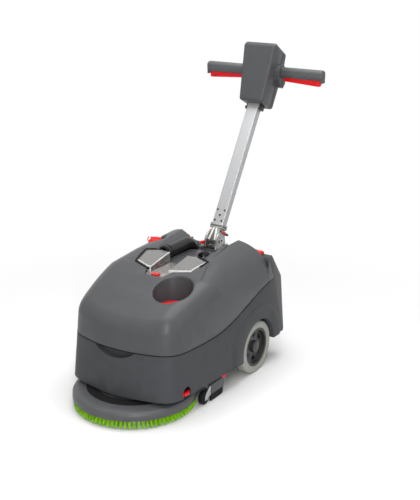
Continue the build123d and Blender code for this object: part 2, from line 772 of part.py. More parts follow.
def make_neck():
    body = upright(FILLER_X, FILLER_BACK, FILLER_SEAT_Z, FILLER_SEAT_Z + NECK_H, NECK_R)
    spigot = upright(FILLER_X, FILLER_BACK, FILLER_SEAT_Z - WALL - 2, FILLER_SEAT_Z, NECK_R - CLEARANCE)
    flange = upright(FILLER_X, FILLER_BACK, FILLER_SEAT_Z, FILLER_SEAT_Z + NECK_FLANGE_T, NECK_FLANGE_R)
    return body + spigot + flange - upright(FILLER_X, FILLER_BACK, 0, TALL, NECK_BORE_R)


def make_cap():
    low = FILLER_SEAT_Z + NECK_H + CLEARANCE - CAP_SKIRT
    inner_r = NECK_R + CLEARANCE
    long, thick, high = CAP_GRIP
    top = low + CAP_H
    ring = [(0, top - high / 2), (CAP_TOP_R, top - high / 2), (CAP_R, low + CAP_SKIRT + 1), (CAP_R - 2, low),
            (inner_r, low), (inner_r, low + CAP_SKIRT), (0, low + CAP_SKIRT)]
    cap = Pos(FILLER_X, back(FILLER_BACK), 0) * turned(ring)
    middle = Pos(FILLER_X, back(FILLER_BACK), top - high / 2)
    return cap + middle * Box(long, thick, high)


def make_strap():
    """Thin loop that ties the cap to the tank's shoulder."""
    low = FILLER_SEAT_Z + NECK_FLANGE_T + CLEARANCE / 3
    high = low + 2 * STRAP_R
    y = back(FILLER_BACK)
    foot = (FILLER_X - NECK_FLANGE_R + 1, y, low + STRAP_R)
    bow = (FILLER_X - CAP_R - 9, y, FILLER_SEAT_Z + 15)
    head = (FILLER_X - CAP_R - STRAP_R - 2 * CLEARANCE, y, FILLER_SEAT_Z + 23)
    path = ThreePointArc(foot, bow, head)
    loop = sweep(Plane(origin=foot, z_dir=path.tangent_at(0)) * Circle(STRAP_R), path=path)
    ring = upright(FILLER_X, FILLER_BACK, low, high, NECK_FLANGE_R)
    return loop + ring - upright(FILLER_X, FILLER_BACK, 0, TALL, NECK_R + CLEARANCE)


def make_rear_housing():
    top_lean = SPLIT_TAIL_BACK - TAIL_LEAN * (REAR_TOP_Z - SPLIT_TAIL_Z)
    side = [(TAIL_FOOT_BACK, REAR_SKIRT_Z), (SPLIT_TAIL_BACK, SPLIT_TAIL_Z), (top_lean, REAR_TOP_Z),
            (REAR_SHELF_BACK, REAR_TOP_Z), (REAR_END_BACK, REAR_END_Z), (REAR_END_BACK, REAR_SKIRT_Z)]
    roof_z = REAR_TOP_Z - WALL
    wall_back = REAR_END_BACK - WALL
    inner_side = [(SLOT_BACK - 60, 0), (SLOT_BACK - 60, roof_z), (REAR_SHELF_BACK - WALL / 2, roof_z),
                  (wall_back, REAR_END_Z - 1), (wall_back, 0)]

    def tapered(form, inset):
        for sign in (1, -1):
            normal = (sign * TAIL_TAPER[0], TAIL_TAPER[1], TAIL_TAPER[2])
            hinge = Vector(sign * TAIL_HALF, back(SPLIT_TAIL_BACK), SPLIT_TAIL_Z) - Vector(normal) * inset
            form -= Plane(origin=hinge, z_dir=normal) * Pos(0, 0, 200) * Box(1200, 1200, 400)
        return form

    outer = tapered(walls() & across(side, WIDE), 0)
    shelf_y = back(REAR_SHELF_BACK - 1)
    ridges = [e for e in outer.edges() if e.center().Z > REAR_END_Z - 5 and e.center().Y > shelf_y]
    outer = fillet(ridges, REAR_ROUNDING)
    front_gap = before_tail(-CLEARANCE)
    pedestal_end = REAR_SHELF_BACK - REAR_ROUNDING - 1
    room_half = PEDESTAL_HALF - WALL
    pedestal_z = SPLIT_TAIL_Z - 20
    pedestal = block(-PEDESTAL_HALF, PEDESTAL_HALF, SLOT_BACK + WALL, pedestal_end, pedestal_z, REAR_TOP_Z)
    pedestal_room = block(-room_half, room_half, SLOT_BACK + 2 * WALL, REAR_SHELF_BACK - WALL, 0, roof_z)
    shell = (outer - front_gap) - tapered(walls(WALL) & across(inner_side, WIDE), WALL)
    shell = shell + pedestal - pedestal_room
    door_half = BATTERY_SIZE[0] / 2 + BATTERY_DOOR_GAP
    door_low = TRAY_Z + TRAY_T - BATTERY_DOOR_GAP
    door_high = door_low + BATTERY_SIZE[2] + 2 * BATTERY_DOOR_GAP
    shell -= block(BATTERY_X - door_half, BATTERY_X + door_half, wall_back - WALL, TALL, door_low, door_high)
    half_ear = LATCH_EAR_T / 2
    reach = LATCH_W / 2 + half_ear + LATCH_EAR_GAP
    ear_front, ear_end = LATCH_PIVOT_BACK - LATCH_EAR_HALF, LATCH_PIVOT_BACK + LATCH_EAR_HALF
    ear_top = LATCH_HINGE_Z + 2 * LATCH_PIN_R
    for side_x in (-LATCH_X, LATCH_X):
        for ear_x in (side_x - reach, side_x + reach):
            shell += block(ear_x - half_ear, ear_x + half_ear, ear_front, ear_end, REAR_TOP_Z - 1, ear_top)
        shell += rod(side_x - reach, side_x + reach, LATCH_PIVOT_BACK, LATCH_HINGE_Z, LATCH_PIN_R)
    return shell


def make_tank_latch(x):
    """Red over-centre clip that holds the tank to the rear housing."""
    low, high = LATCH_HINGE_Z - 5, LATCH_HINGE_Z + 5
    plate = [(LATCH_FRONT_BACK, low), (LATCH_PIVOT_BACK, low), (LATCH_PIVOT_BACK, high),
             (LATCH_FRONT_BACK + 8, high), (LATCH_FRONT_BACK, high + 4)]
    half = LATCH_W / 2 - CLEARANCE
    clip = across(plate, half, x) + rod(x - half, x + half, LATCH_PIVOT_BACK, LATCH_HINGE_Z, LATCH_BARREL_R)
    return clip - rod(x - WIDE, x + WIDE, LATCH_PIVOT_BACK, LATCH_HINGE_Z, LATCH_PIN_R + RUNNING_FIT)


# Steel frame, wheels and what the chassis carries

def make_frame():
    rail_top = RAIL_Z + RAIL_H
    rail = block(RAIL_X - RAIL_W / 2, RAIL_X + RAIL_W / 2, RAIL_FRONT_BACK, RAIL_END_BACK, RAIL_Z, rail_top)
    frame = both_sides(rail)
    for cross in CROSS_BACKS:
        frame += block(-RAIL_X, RAIL_X, cross - CROSS_W / 2, cross + CROSS_W / 2, RAIL_Z, rail_top)
    post_top = REAR_TOP_Z - WALL
    post_back = CROSS_BACKS[2]
    for side in (-1, 1):
        frame += block(side * POST_X - POST_W / 2, side * POST_X + POST_W / 2, post_back - POST_D / 2,
                       post_back + POST_D / 2, RAIL_Z + 1, post_top)
        tray = block(PEDESTAL_HALF - 2, TRAY_OUT_X, BATTERY_FRONT_BACK, REAR_END_BACK - WALL - 1, TRAY_Z,
                     TRAY_Z + TRAY_T)
        leg = block(RAIL_X - TRAY_LEG_HALF, RAIL_X + TRAY_LEG_HALF, CROSS_BACKS[3] - CROSS_W / 2,
                    CROSS_BACKS[3] + CROSS_W / 2, RAIL_Z + 1, TRAY_Z + 1)
        carrier = tray + leg
        frame += carrier if side > 0 else mirror(carrier, Plane.YZ)
        frame += pivot_bracket(side, DECK_ARM_X, DECK_ARM_T, DECK_PIVOT_BACK, DECK_PIVOT_Z, CROSS_BACKS[0])
        frame += pivot_bracket(side, SQUEEGEE_ARM_X, SQUEEGEE_ARM_T, SQUEEGEE_PIVOT_BACK, SQUEEGEE_PIVOT_Z,
                               CROSS_BACKS[1])
    return frame - rod(-WIDE, WIDE, WHEEL_BACK, WHEEL_R, AXLE_R)


def pivot_bracket(side, arm_x, arm_t, pivot_back, pivot_z, cross_back):
    """Bracket with a stub pin that carries one hinged arm."""
    inner = arm_x + arm_t / 2 + 1
    front = pivot_back - 11
    plate = across([(front, pivot_z - 9), (cross_back, RAIL_Z + 2), (cross_back, RAIL_Z + RAIL_H - 2),
                    (front, pivot_z + 12)], BRACKET_T / 2, side * (inner + BRACKET_T / 2))
    pin = rod(side * (inner + 4), side * (arm_x - arm_t / 2 - 1), pivot_back, pivot_z, PIVOT_PIN_R)
    return plate + pin


def make_axle():
    return rod(-WHEEL_FACE_X + 14, WHEEL_FACE_X - 14, WHEEL_BACK, WHEEL_R, AXLE_R)


def make_tyre(sign):
    inner_x = WHEEL_FACE_X - WHEEL_WIDTH
    tyre = rod(inner_x, WHEEL_FACE_X, WHEEL_BACK, WHEEL_R, WHEEL_R)
    tyre = fillet(tyre.edges().filter_by(GeomType.CIRCLE), TYRE_ROUNDING)
    tyre -= rod(inner_x - 1, WHEEL_FACE_X + 1, WHEEL_BACK, WHEEL_R, HUB_R)
    return tyre if sign > 0 else mirror(tyre, Plane.YZ)


def make_hub(sign):
    """Wheel hub with a dished web and triangular openings between its spokes."""
    inner_x = WHEEL_FACE_X - WHEEL_WIDTH + HUB_FACE_SET
    face_x = WHEEL_FACE_X - HUB_FACE_SET
    web_x = WHEEL_FACE_X - HUB_WEB_SET
    hub = rod(inner_x, face_x, WHEEL_BACK, WHEEL_R, HUB_R)
    hub -= rod(web_x, WIDE, WHEEL_BACK, WHEEL_R, HUB_R - HUB_RIM)
    hub -= rod(0, web_x - HUB_WEB_T, WHEEL_BACK, WHEEL_R, HUB_R - HUB_RIM)
    hub += rod(inner_x, face_x - 1, WHEEL_BACK, WHEEL_R, HUB_BOSS_R)
    step = 360 / HUB_SPOKES
    reach = HUB_R - HUB_RIM
    for spoke in range(HUB_SPOKES):
        half_turn = radians(step / 2 - SPOKE_HALF_TURN)
        outer = reach - HUB_HOLE_ROUNDING
        corners = [(HUB_BOSS_R + SPOKE_HALF_TURN, 0), (outer * cos(half_turn), outer * sin(half_turn)),
                   (outer * cos(half_turn), -outer * sin(half_turn))]
        hole = make_face(Polyline(*corners, close=True))
        hole = fillet(hole.vertices(), HUB_HOLE_ROUNDING)
        cutter = extrude(Plane.YZ * Rot(0, 0, step * spoke + 90) * hole, amount=WIDE)
        hub -= Pos(0, back(WHEEL_BACK), WHEEL_R) * cutter
    hub -= rod(0, face_x - 6, WHEEL_BACK, WHEEL_R, AXLE_R + RUNNING_FIT)
    return hub if sign > 0 else mirror(hub, Plane.YZ)


def make_board():
    """Controller board on four stand-offs inside the rear wall."""
    wall_face = REAR_END_BACK - WALL
    low, high = BOARD_Z
    face = wall_face - STANDOFF_L - BOARD_T
    board = block(-BOARD_HALF, BOARD_HALF, face, face + BOARD_T, low, high)
    for x in (STANDOFF_INSET - BOARD_HALF, BOARD_HALF - STANDOFF_INSET):
        for z in (low + STANDOFF_INSET, high - STANDOFF_INSET):
            peg = Pos(x, back(wall_face - STANDOFF_L / 2), z) * Rot(90, 0, 0)
            board += peg * Cylinder(STANDOFF_R, STANDOFF_L)
    board += Pos(-STANDOFF_INSET, back(face), low + LARGE_CHIP[2]) * Box(*LARGE_CHIP)
    board += Pos(STANDOFF_INSET, back(face), high - LARGE_CHIP[0]) * Box(*SMALL_CHIP)
    return board


def make_vacuum_motor():
    low = TRAY_Z + TRAY_T
    top = low + VAC_CHAMBER_H
    end = top + VAC_MOTOR_H
    bearing_end = top + VAC_BEARING_L
    bore = VAC_SHAFT_R + RUNNING_FIT
    inner_r = VAC_R - WALL
    shell = [(bore, top - WALL), (inner_r, top - WALL), (inner_r, low + WALL), (VAC_INLET_R, low + WALL),
             (VAC_INLET_R, low), (VAC_R, low), (VAC_R, top), (VAC_MOTOR_R, top), (VAC_MOTOR_R, end), (0, end),
             (0, bearing_end), (bore, bearing_end)]
    return Pos(VAC_X, back(VAC_BACK), 0) * turned(shell)


def make_fan():
    low = TRAY_Z + TRAY_T + FAN_LIFT
    shaft_end = TRAY_Z + TRAY_T + VAC_CHAMBER_H + VAC_BEARING_L - 2
    blade_top = low + FAN_PLATE_T / 2 + FAN_BLADE[2]
    fan = upright(VAC_X, VAC_BACK, low, low + FAN_PLATE_T, FAN_R)
    fan += upright(VAC_X, VAC_BACK, low, shaft_end, VAC_SHAFT_R)
    fan += upright(VAC_X, VAC_BACK, low, blade_top, FAN_BOSS_R)
    blade = Pos(FAN_BLADE_R, 0, blade_top - FAN_BLADE[2] / 2) * Rot(0, 0, FAN_BLADE_TURN) * Box(*FAN_BLADE)
    for step in range(FAN_BLADES):
        fan += Pos(VAC_X, back(VAC_BACK), 0) * Rot(0, 0, 360 / FAN_BLADES * step) * blade
    return fan


def make_battery():
    wide, long, high = BATTERY_SIZE
    low = TRAY_Z + TRAY_T + CLEARANCE
    end = BATTERY_FRONT_BACK + long
    pack = block(BATTERY_X - wide / 2, BATTERY_X + wide / 2, BATTERY_FRONT_BACK, end, low, low + high - 1)
    pack = fillet(pack.edges().filter_by(Axis.Y), BATTERY_ROUNDING)
    pack = fillet(pack.faces().sort_by(Axis.Y)[-1].edges(), BATTERY_ROUNDING / 2)
    half = (wide - BATTERY_GRIP_R) / 2
    scoop_z = low + BATTERY_GRIP_SHARE * high
    scoop = rod(BATTERY_X - half, BATTERY_X + half, end + BATTERY_GRIP_R / 3, scoop_z, BATTERY_GRIP_R)
    return pack - scoop


def make_hose():
    """Suction hose from the squeegee's spout up to a cuff under the tank's duct."""
    spout_back = SQUEEGEE_REAR_BACK - SQUEEGEE_T / 2
    points = [(ELBOW_X, back(ELBOW_DOWN_BACK), SPLIT_TAIL_Z), (ELBOW_X, back(ELBOW_DOWN_BACK), HOSE_HIGH_Z),
              (0, back(spout_back), HOSE_LOW_Z), (0, back(spout_back), SPOUT_TOP_Z - 12)]
    path = FilletPolyline(*points, radius=HOSE_BEND_R)
    start = Plane(origin=points[0], z_dir=(0, 0, -1))
    tube = sweep(start * Circle(HOSE_R), path=path)
    cuff_low = SPLIT_TAIL_Z - 2 * HOSE_CUFF_L
    cuff = upright(ELBOW_X, ELBOW_DOWN_BACK, cuff_low, SPLIT_TAIL_Z, HOSE_CUFF_R)
    cuff -= block(-PEDESTAL_HALF - CLEARANCE, 0, SLOT_BACK - WALL, TALL, 0, TALL)
    tube += cuff
    tube -= sweep(start * Circle(SPOUT_R + HOSE_PLAY), path=path)
    return tube & under_curve(split_line(SEAM / 2 - CLEARANCE))


# Brush deck and its drive

def at_brush(shape):
    return Pos(0, BRUSH_Y, 0) * shape


def make_deck():
    inner_top = DECK_TOP_Z - DECK_ROOF_T
    bore = SPINDLE_R + RUNNING_FIT
    profile = [(DECK_R - DECK_T, DECK_LOW_Z), (DECK_R, DECK_LOW_Z), (DECK_R, DECK_LIP_Z),
               (DECK_R - 6, DECK_LIP_Z + 9), (DECK_R - 22, DECK_TOP_Z - 4), (DECK_CROWN_R, DECK_TOP_Z),
               (bore, DECK_TOP_Z), (bore, DECK_BOSS_Z), (DECK_BOSS_R, DECK_BOSS_Z), (DECK_BOSS_R, inner_top),
               (DECK_CROWN_R - 2, inner_top), (DECK_R - 26, inner_top - 3), (DECK_R - 12, inner_top - 8),
               (DECK_R - DECK_T, DECK_LIP_Z - 4)]
    ring = turned(profile)
    circles = ring.edges().filter_by(GeomType.CIRCLE)
    lip = [e for e in circles if e.radius > DECK_R - 7 and e.center().Z > DECK_LIP_Z - 1]
    deck = at_brush(fillet(lip, DECK_LIP_ROUNDING))
    arm_end = DECK_PIVOT_BACK + 12
    arm = across([(DECK_ARM_START, DECK_ARM_Z), (DECK_ARM_KNEE, DECK_ARM_Z), (arm_end, DECK_PIVOT_Z - 8),
                  (arm_end, DECK_PIVOT_Z + 8), (DECK_PIVOT_BACK - 6, DECK_PIVOT_Z + 12),
                  (DECK_ARM_START, DECK_ARM_Z + DECK_ARM_T)], DECK_ARM_T / 2, DECK_ARM_X)
    arm -= rod(0, WIDE, DECK_PIVOT_BACK, DECK_PIVOT_Z, PIVOT_PIN_R + RUNNING_FIT)
    return deck + both_sides(arm)


def involute_gear(teeth, width, bore, half_step):
    """Spur gear with involute flanks, its first tooth turned by half a step if asked."""
    pitch_r = GEAR_MODULE * teeth / 2
    base_r = pitch_r * cos(radians(PRESSURE_ANGLE))
    tip_r = pitch_r + 0.9 * GEAR_MODULE
    root_r = pitch_r - 1.25 * GEAR_MODULE

    def roll(radius):
        if radius <= base_r:
            return 0.0
        pressure = acos(base_r / radius)
        return tan(pressure) - pressure

    half_tooth = pi / (2 * teeth) - GEAR_BACKLASH / (2 * pitch_r) + roll(pitch_r)
    radii = [root_r, max(base_r, root_r + 0.2), pitch_r, tip_r]
    points = []
    for tooth in range(teeth):
        middle = 2 * pi * (tooth + half_step) / teeth
        rising = [(r, middle - half_tooth + roll(r)) for r in radii]
        falling = [(r, middle + half_tooth - roll(r)) for r in reversed(radii)]
        points += [(r * cos(a), r * sin(a)) for r, a in rising + falling]
    blank = extrude(make_face(Polyline(*points, close=True)), amount=width)
    return blank - Cylinder(bore, 4 * width) if bore else blank


PINION_BACK = GEAR_MODULE * (GEAR_TEETH + PINION_TEETH) / 2


def make_gear():
    return Pos(0, BRUSH_Y, GEAR_Z) * Rot(0, 0, 90) * involute_gear(GEAR_TEETH, GEAR_WIDTH, SPINDLE_R, 0.5)


def make_pinion():
    place = Pos(0, back(PINION_BACK), GEAR_Z) * Rot(0, 0, -90)
    gear = place * involute_gear(PINION_TEETH, GEAR_WIDTH, 0, 0.0)
    return gear + upright(0, PINION_BACK, GEAR_Z, GEAR_CASE_TOP_Z + MOTOR_SHAFT_L, MOTOR_SHAFT_R)


def make_gear_case():
    gear_r = GEAR_MODULE * GEAR_TEETH / 2 + GEAR_ROOM
    pinion_r = GEAR_MODULE * PINION_TEETH / 2 + GEAR_ROOM
    roof_z = GEAR_CASE_TOP_Z - GEAR_CASE_WALL

    def stadium(grow, z0, z1):
        form = upright(0, 0, z0, z1, gear_r + grow) + upright(0, PINION_BACK, z0, z1, pinion_r + grow)
        return form + block(-pinion_r - grow, pinion_r + grow, 0, PINION_BACK, z0, z1)

    case = stadium(GEAR_CASE_WALL, DECK_TOP_Z, GEAR_CASE_TOP_Z) - stadium(0, DECK_TOP_Z - 1, roof_z)
    seat = upright(0, PINION_BACK, roof_z, GEAR_CASE_TOP_Z, MOTOR_R - GEAR_CASE_WALL)
    return case + seat - upright(0, PINION_BACK, 0, TALL, MOTOR_SHAFT_R + 1)


def make_brush_motor():
    low = GEAR_CASE_TOP_Z
    can = upright(0, PINION_BACK, low, low + MOTOR_H, MOTOR_R)
    can = fillet(can.faces().sort_by(Axis.Z)[-1].edges(), MOTOR_ROUNDING)
    return can - upright(0, PINION_BACK, low - 1, low + MOTOR_SHAFT_L + 2, MOTOR_SHAFT_R + RUNNING_FIT)


def make_spindle():
    flange_low = BRISTLE_Z + BACK_T
    shaft = upright(0, 0, flange_low, GEAR_Z + GEAR_WIDTH + 4, SPINDLE_R)
    flange = upright(0, 0, flange_low, flange_low + SPINDLE_FLANGE_T, BACK_HOLE_R + FLANGE_RIM)
    plug = upright(0, 0, BRISTLE_Z - 4, flange_low, BACK_HOLE_R - CLEARANCE)
    collar = upright(0, 0, DECK_TOP_Z + CLEARANCE, GEAR_Z, SPINDLE_R + SPINDLE_COLLAR)
    return shaft + flange + plug + collar


def make_brush_back():
    plate = upright(0, 0, BRISTLE_Z, BRISTLE_Z + BACK_T, BACK_R)
    plate = fillet(plate.faces().sort_by(Axis.Z)[-1].edges(), 3)
    return plate - upright(0, 0, 0, TALL, BACK_HOLE_R)


def make_bristles_outer():
    ring = [(BRISTLE_TOP_R - BRISTLE_RING, BRISTLE_Z), (BRISTLE_TOP_R - 2, BRISTLE_Z), (BRISTLE_FOOT_R, 0),
            (BRISTLE_FOOT_R - BRISTLE_RING, 0)]
    return at_brush(turned(ring))


def make_bristles_inner():
    outer_top = BRISTLE_TOP_R - BRISTLE_RING - 2
    outer_foot = BRISTLE_FOOT_R - BRISTLE_RING - 2
    ring = [(BRISTLE_INNER_R, BRISTLE_Z), (outer_top, BRISTLE_Z), (outer_foot, 0), (BRISTLE_INNER_R, 0)]
    return at_brush(turned(ring))


# Squeegee

def squeegee_band(outer_inset, inner_inset, z0, z1):
    """Horseshoe band around the rear of the brush between two insets."""

    def horseshoe(inset):
        half = SQUEEGEE_HALF - inset
        depth = SQUEEGEE_REAR_BACK - SQUEEGEE_CENTRE_BACK - inset
        return Pos(0, back(SQUEEGEE_CENTRE_BACK), 0) * Ellipse(half, depth)

    def legs(inset):
        half = SQUEEGEE_HALF - inset
        length = SQUEEGEE_CENTRE_BACK - SQUEEGEE_TIP_BACK
        return Pos(0, back(SQUEEGEE_TIP_BACK + length / 2), 0) * Rectangle(2 * half, length)

    face = (horseshoe(outer_inset) + legs(outer_inset)) - (horseshoe(inner_inset) + legs(inner_inset))
    face &= Pos(0, back(SQUEEGEE_TIP_BACK + WIDE), 0) * Rectangle(2 * WIDE, 2 * WIDE)
    return Pos(0, 0, z0) * extrude(face, amount=z1 - z0)


def make_squeegee_body():
    body = squeegee_band(0, SQUEEGEE_T, SQUEEGEE_LOW_Z, SQUEEGEE_TOP_Z)
    body = fillet(body.faces().sort_by(Axis.Z)[-1].edges(), SQUEEGEE_ROUNDING)
    rear_middle = SQUEEGEE_REAR_BACK - SQUEEGEE_T / 2
    arm_end = SQUEEGEE_PIVOT_BACK + 10
    arm_low = SQUEEGEE_TOP_Z - SQUEEGEE_ARM_T
    arm = across([(rear_middle - 8, arm_low), (rear_middle + 6, arm_low), (arm_end, SQUEEGEE_PIVOT_Z - 8),
                  (arm_end, SQUEEGEE_PIVOT_Z + 7),
                  (SQUEEGEE_PIVOT_BACK - 8, SQUEEGEE_PIVOT_Z + 11), (rear_middle - 8, SQUEEGEE_TOP_Z + 8)],
                 SQUEEGEE_ARM_T / 2, SQUEEGEE_ARM_X)
    arm -= rod(0, WIDE, SQUEEGEE_PIVOT_BACK, SQUEEGEE_PIVOT_Z, PIVOT_PIN_R + RUNNING_FIT)
    body += both_sides(arm)
    body += upright(0, rear_middle, SQUEEGEE_TOP_Z - 6, SPOUT_TOP_Z, SPOUT_R)
    return body - upright(0, rear_middle, 0, TALL, SPOUT_R - SPOUT_WALL)


def make_blades():
    blades = []
    for inset in (BLADE_INSET, BLADE_INSET + BLADE_T + BLADE_GAP):
        blades.append(squeegee_band(inset, inset + BLADE_T, BLADE_LOW_Z, SQUEEGEE_LOW_Z))
    return blades


def make_forks():
    """Steel forks on the squeegee's tips, one for each guide wheel."""
    half = CASTER_W / 2 + 1
    axle_z = CASTER_R + CASTER_LIFT
    tip = SQUEEGEE_TIP_BACK - CLEARANCE
    nose = CASTER_BACK - 8
    top = SQUEEGEE_TOP_Z - 4
    forks = []
    for x in (-CASTER_X, CASTER_X):
        fork = block(x - half - FORK_T, x + half + FORK_T, tip - FORK_T, tip, SQUEEGEE_LOW_Z, top)
        for cheek in (x - half - FORK_T / 2, x + half + FORK_T / 2):
            fork += across([(tip, SQUEEGEE_LOW_Z), (tip, top), (tip - 10, top), (nose, axle_z + 8),
                            (nose, axle_z - 8), (CASTER_BACK + 6, axle_z - 8)], FORK_T / 2, cheek)
        fork += rod(x - half - 1, x + half + 1, CASTER_BACK, axle_z, CASTER_PIN_R)
        forks.append(fork)
    return forks


def make_caster(x):
    axle_z = CASTER_R + CASTER_LIFT
    wheel = rod(x - CASTER_W / 2, x + CASTER_W / 2, CASTER_BACK, axle_z, CASTER_R)
    wheel = fillet(wheel.edges().filter_by(GeomType.CIRCLE), CASTER_ROUNDING)
    return wheel - rod(x - CASTER_W, x + CASTER_W, CASTER_BACK, axle_z, CASTER_PIN_R + RUNNING_FIT)


# Column, hinge, head and controls

def column_plane():
    """Frame of the column: origin on the hinge, z along the tube, y to its rear."""
    lean = radians(COLUMN_LEAN)
    along = (0, sin(lean), cos(lean))
    return Plane(origin=(0, back(PIVOT_BACK), PIVOT_Z), x_dir=(1, 0, 0), z_dir=along)


def column_box(width, depth, start, end):
    return column_plane() * Pos(0, 0, (start + end) / 2) * Box(width, depth, end - start)


def make_tube():
    tube = column_box(COLUMN_W, COLUMN_D, COLUMN_START, COLUMN_END)
    along = column_plane().z_dir
    tube = fillet([e for e in tube.edges() if abs(e.tangent_at(0).dot(along)) > 0.99], 4)
    room = column_box(COLUMN_W - 2 * COLUMN_WALL, COLUMN_D - 2 * COLUMN_WALL, 0, TALL)
    return tube - room


def make_foot():
    """Cast foot: hinge eye, collar round the tube's end and a plug inside it."""
    eye = rod(-FOOT_HALF, FOOT_HALF, PIVOT_BACK, PIVOT_Z, FOOT_R)
    neck = column_box(2 * FOOT_HALF, COLUMN_D, 0, COLUMN_START)
    collar_grow = 2 * (COLLAR_T + CLEARANCE)
    collar = column_box(COLUMN_W + collar_grow, COLUMN_D + collar_grow, COLLAR_START, COLLAR_END)
    collar -= column_box(COLUMN_W + 2 * CLEARANCE, COLUMN_D + 2 * CLEARANCE, COLUMN_START, COLLAR_END + 1)
    inner = 2 * (COLUMN_WALL + CLEARANCE)
    plug = column_box(COLUMN_W - inner, COLUMN_D - inner, COLUMN_START - 2, FOOT_PLUG_END)
    lug_depth = PLUNGER_REAR + PLUNGER_R + 2 - COLUMN_D / 2
    lug_size = (2 * FOOT_HALF - 6, lug_depth, COLUMN_START - COLLAR_START)
    lug_place = Pos(0, (COLUMN_D + lug_depth) / 2, (COLLAR_START + COLUMN_START) / 2)
    lug = column_plane() * lug_place * Box(*lug_size)
    foot = eye + neck + collar + plug + lug
    return foot - rod(-WIDE, WIDE, PIVOT_BACK, PIVOT_Z, HINGE_PIN_R)


def make_pin():
    reach = CHEEK_IN + CHEEK_T
    end = reach + PIN_HEAD_T
    pin = rod(-end, end, PIVOT_BACK, PIVOT_Z, HINGE_PIN_R)
    head = rod(reach + CLEARANCE, end, PIVOT_BACK, PIVOT_Z, HINGE_PIN_R + PIN_HEAD)
    return pin + both_sides(head)


def make_base():
    """Cast base with two rounded cheeks for the column's hinge."""
    top = REAR_TOP_Z + BASE_T
    plate = block(-BASE_HALF, BASE_HALF, BASE_FRONT_BACK, BASE_END_BACK, REAR_TOP_Z, top)
    plate = fillet(plate.edges().filter_by(Axis.Z), 6)
    foot = [(PIVOT_BACK - CHEEK_R - 4, top - 1), (PIVOT_BACK + CHEEK_R + 4, top - 1),
            (PIVOT_BACK + CHEEK_R, PIVOT_Z), (PIVOT_BACK - CHEEK_R, PIVOT_Z)]
    middle = CHEEK_IN + CHEEK_T / 2
    cheek = across(foot, CHEEK_T / 2, middle)
    cheek += rod(CHEEK_IN, CHEEK_IN + CHEEK_T, PIVOT_BACK, PIVOT_Z, CHEEK_R)
    base = plate + both_sides(cheek)
    base -= rod(-WIDE, WIDE, PIVOT_BACK, PIVOT_Z, HINGE_PIN_R + RUNNING_FIT)
    for x, b in bolt_places():
        base -= upright(x, b, REAR_TOP_Z - 1, top + 1, BOLT_R + RUNNING_FIT)
    return base


def bolt_places():
    """Corners of the base plate that take a bolt."""
    x = BASE_HALF - BOLT_INSET
    places = []
    for side in (-x, x):
        places.append((side, BASE_FRONT_BACK + BOLT_INSET))
        places.append((side, BASE_END_BACK - BOLT_INSET))
    return places


def make_bolts():
    top = REAR_TOP_Z + BASE_T
    bolts = []
    for x, b in bolt_places():
        head = Pos(x, back(b), top) * extrude(RegularPolygon(BOLT_HEAD_R, 6), amount=BOLT_HEAD_H)
        bolts.append(head + upright(x, b, REAR_TOP_Z, top, BOLT_R))
    return bolts


def make_fold_lever():
    """Red-tipped release lever beside the left cheek."""
    b, z = LEVER_HINGE_BACK, LEVER_HINGE_Z
    arm = across([(b + 5, z - 5), (b + 5, z + 5), (b - 8, z + 7), (b - 26, z + 10), (b - 30, z + 2),
                  (b - 12, z - 4)], LEVER_HALF, LEVER_X)
    boss = rod(LEVER_X - LEVER_HALF, -CHEEK_IN - CHEEK_T - CLEARANCE, b, z, LEVER_BOSS_R)
    return arm + boss


def make_plunger():
    """Spring-loaded T-handle behind the hinge that locks the column upright."""
    low, high = PLUNGER_START, COLLAR_START - CLEARANCE
    plane = column_plane()
    handle = plane * Pos(0, PLUNGER_REAR, low) * Box(2 * FOOT_HALF - 6, PLUNGER_BAR, PLUNGER_BAR)
    handle = fillet(handle.edges(), 2)
    for x in (-PLUNGER_SPREAD, PLUNGER_SPREAD):
        handle += plane * Pos(x, PLUNGER_REAR, (low + high) / 2) * Cylinder(PLUNGER_R, high - low)
    return handle


def make_tube_screws():
    middle = -(COLUMN_D + SCREW_H) / 2
    heads = []
    for x, along in TUBE_SCREWS:
        heads.append(column_plane() * Pos(x, middle, along) * Rot(90, 0, 0) * Cylinder(SCREW_R, SCREW_H))
    return heads


def head_form(inset):
    """Tapered handle head, drawn in by a wall."""
    form = across(HEAD_OUTLINE, WIDE)
    low, high = HEAD_OUTLINE[-1][1], HEAD_OUTLINE[2][1]
    front = [(-HEAD_LOW_HALF, low), (HEAD_LOW_HALF, low), (HEAD_TOP_HALF, high), (-HEAD_TOP_HALF, high)]
    form &= extrude(Plane.XZ * make_face(Polyline(*front, close=True)), amount=2000, both=True)
    if inset:
        return offset(form, amount=-inset, kind=Kind.INTERSECTION)
    return fillet(form.edges(), HEAD_ROUNDING)


def head_split():
    """Everything in front of the plane where the two head shells meet."""
    (b0, z0), (b1, z1) = HEAD_OUTLINE[0], HEAD_OUTLINE[1]
    run = (b1 - b0) / (z1 - z0)
    low, high = BAR_BACK - run * (BAR_Z - 500), BAR_BACK + run * (1500 - BAR_Z)
    return across([(low, 500), (high, 1500), (0, 1500), (0, 500)], WIDE)


def panel_plane():
    """Plane on the head's sloping control face."""
    (b0, z0), (b1, z1) = HEAD_OUTLINE[2], HEAD_OUTLINE[3]
    length = hypot(b1 - b0, z1 - z0)
    normal = (0, (z0 - z1) / length, (b1 - b0) / length)
    return Plane(origin=(0, back((b0 + b1) / 2), (z0 + z1) / 2), x_dir=(1, 0, 0), z_dir=normal)


def panel_solid(grow, deep):
    box = Box(PANEL_W + 2 * grow, PANEL_L + 2 * grow, PANEL_T)
    box = fillet(box.edges().filter_by(Axis.Z), PANEL_CORNER_R + grow)
    return panel_plane() * Pos(0, 0, PANEL_PROUD - PANEL_T / 2 - deep) * box


def button_solid(x, radius, low, high):
    return panel_plane() * Pos(x, 0, (low + high) / 2) * Cylinder(radius, high - low)


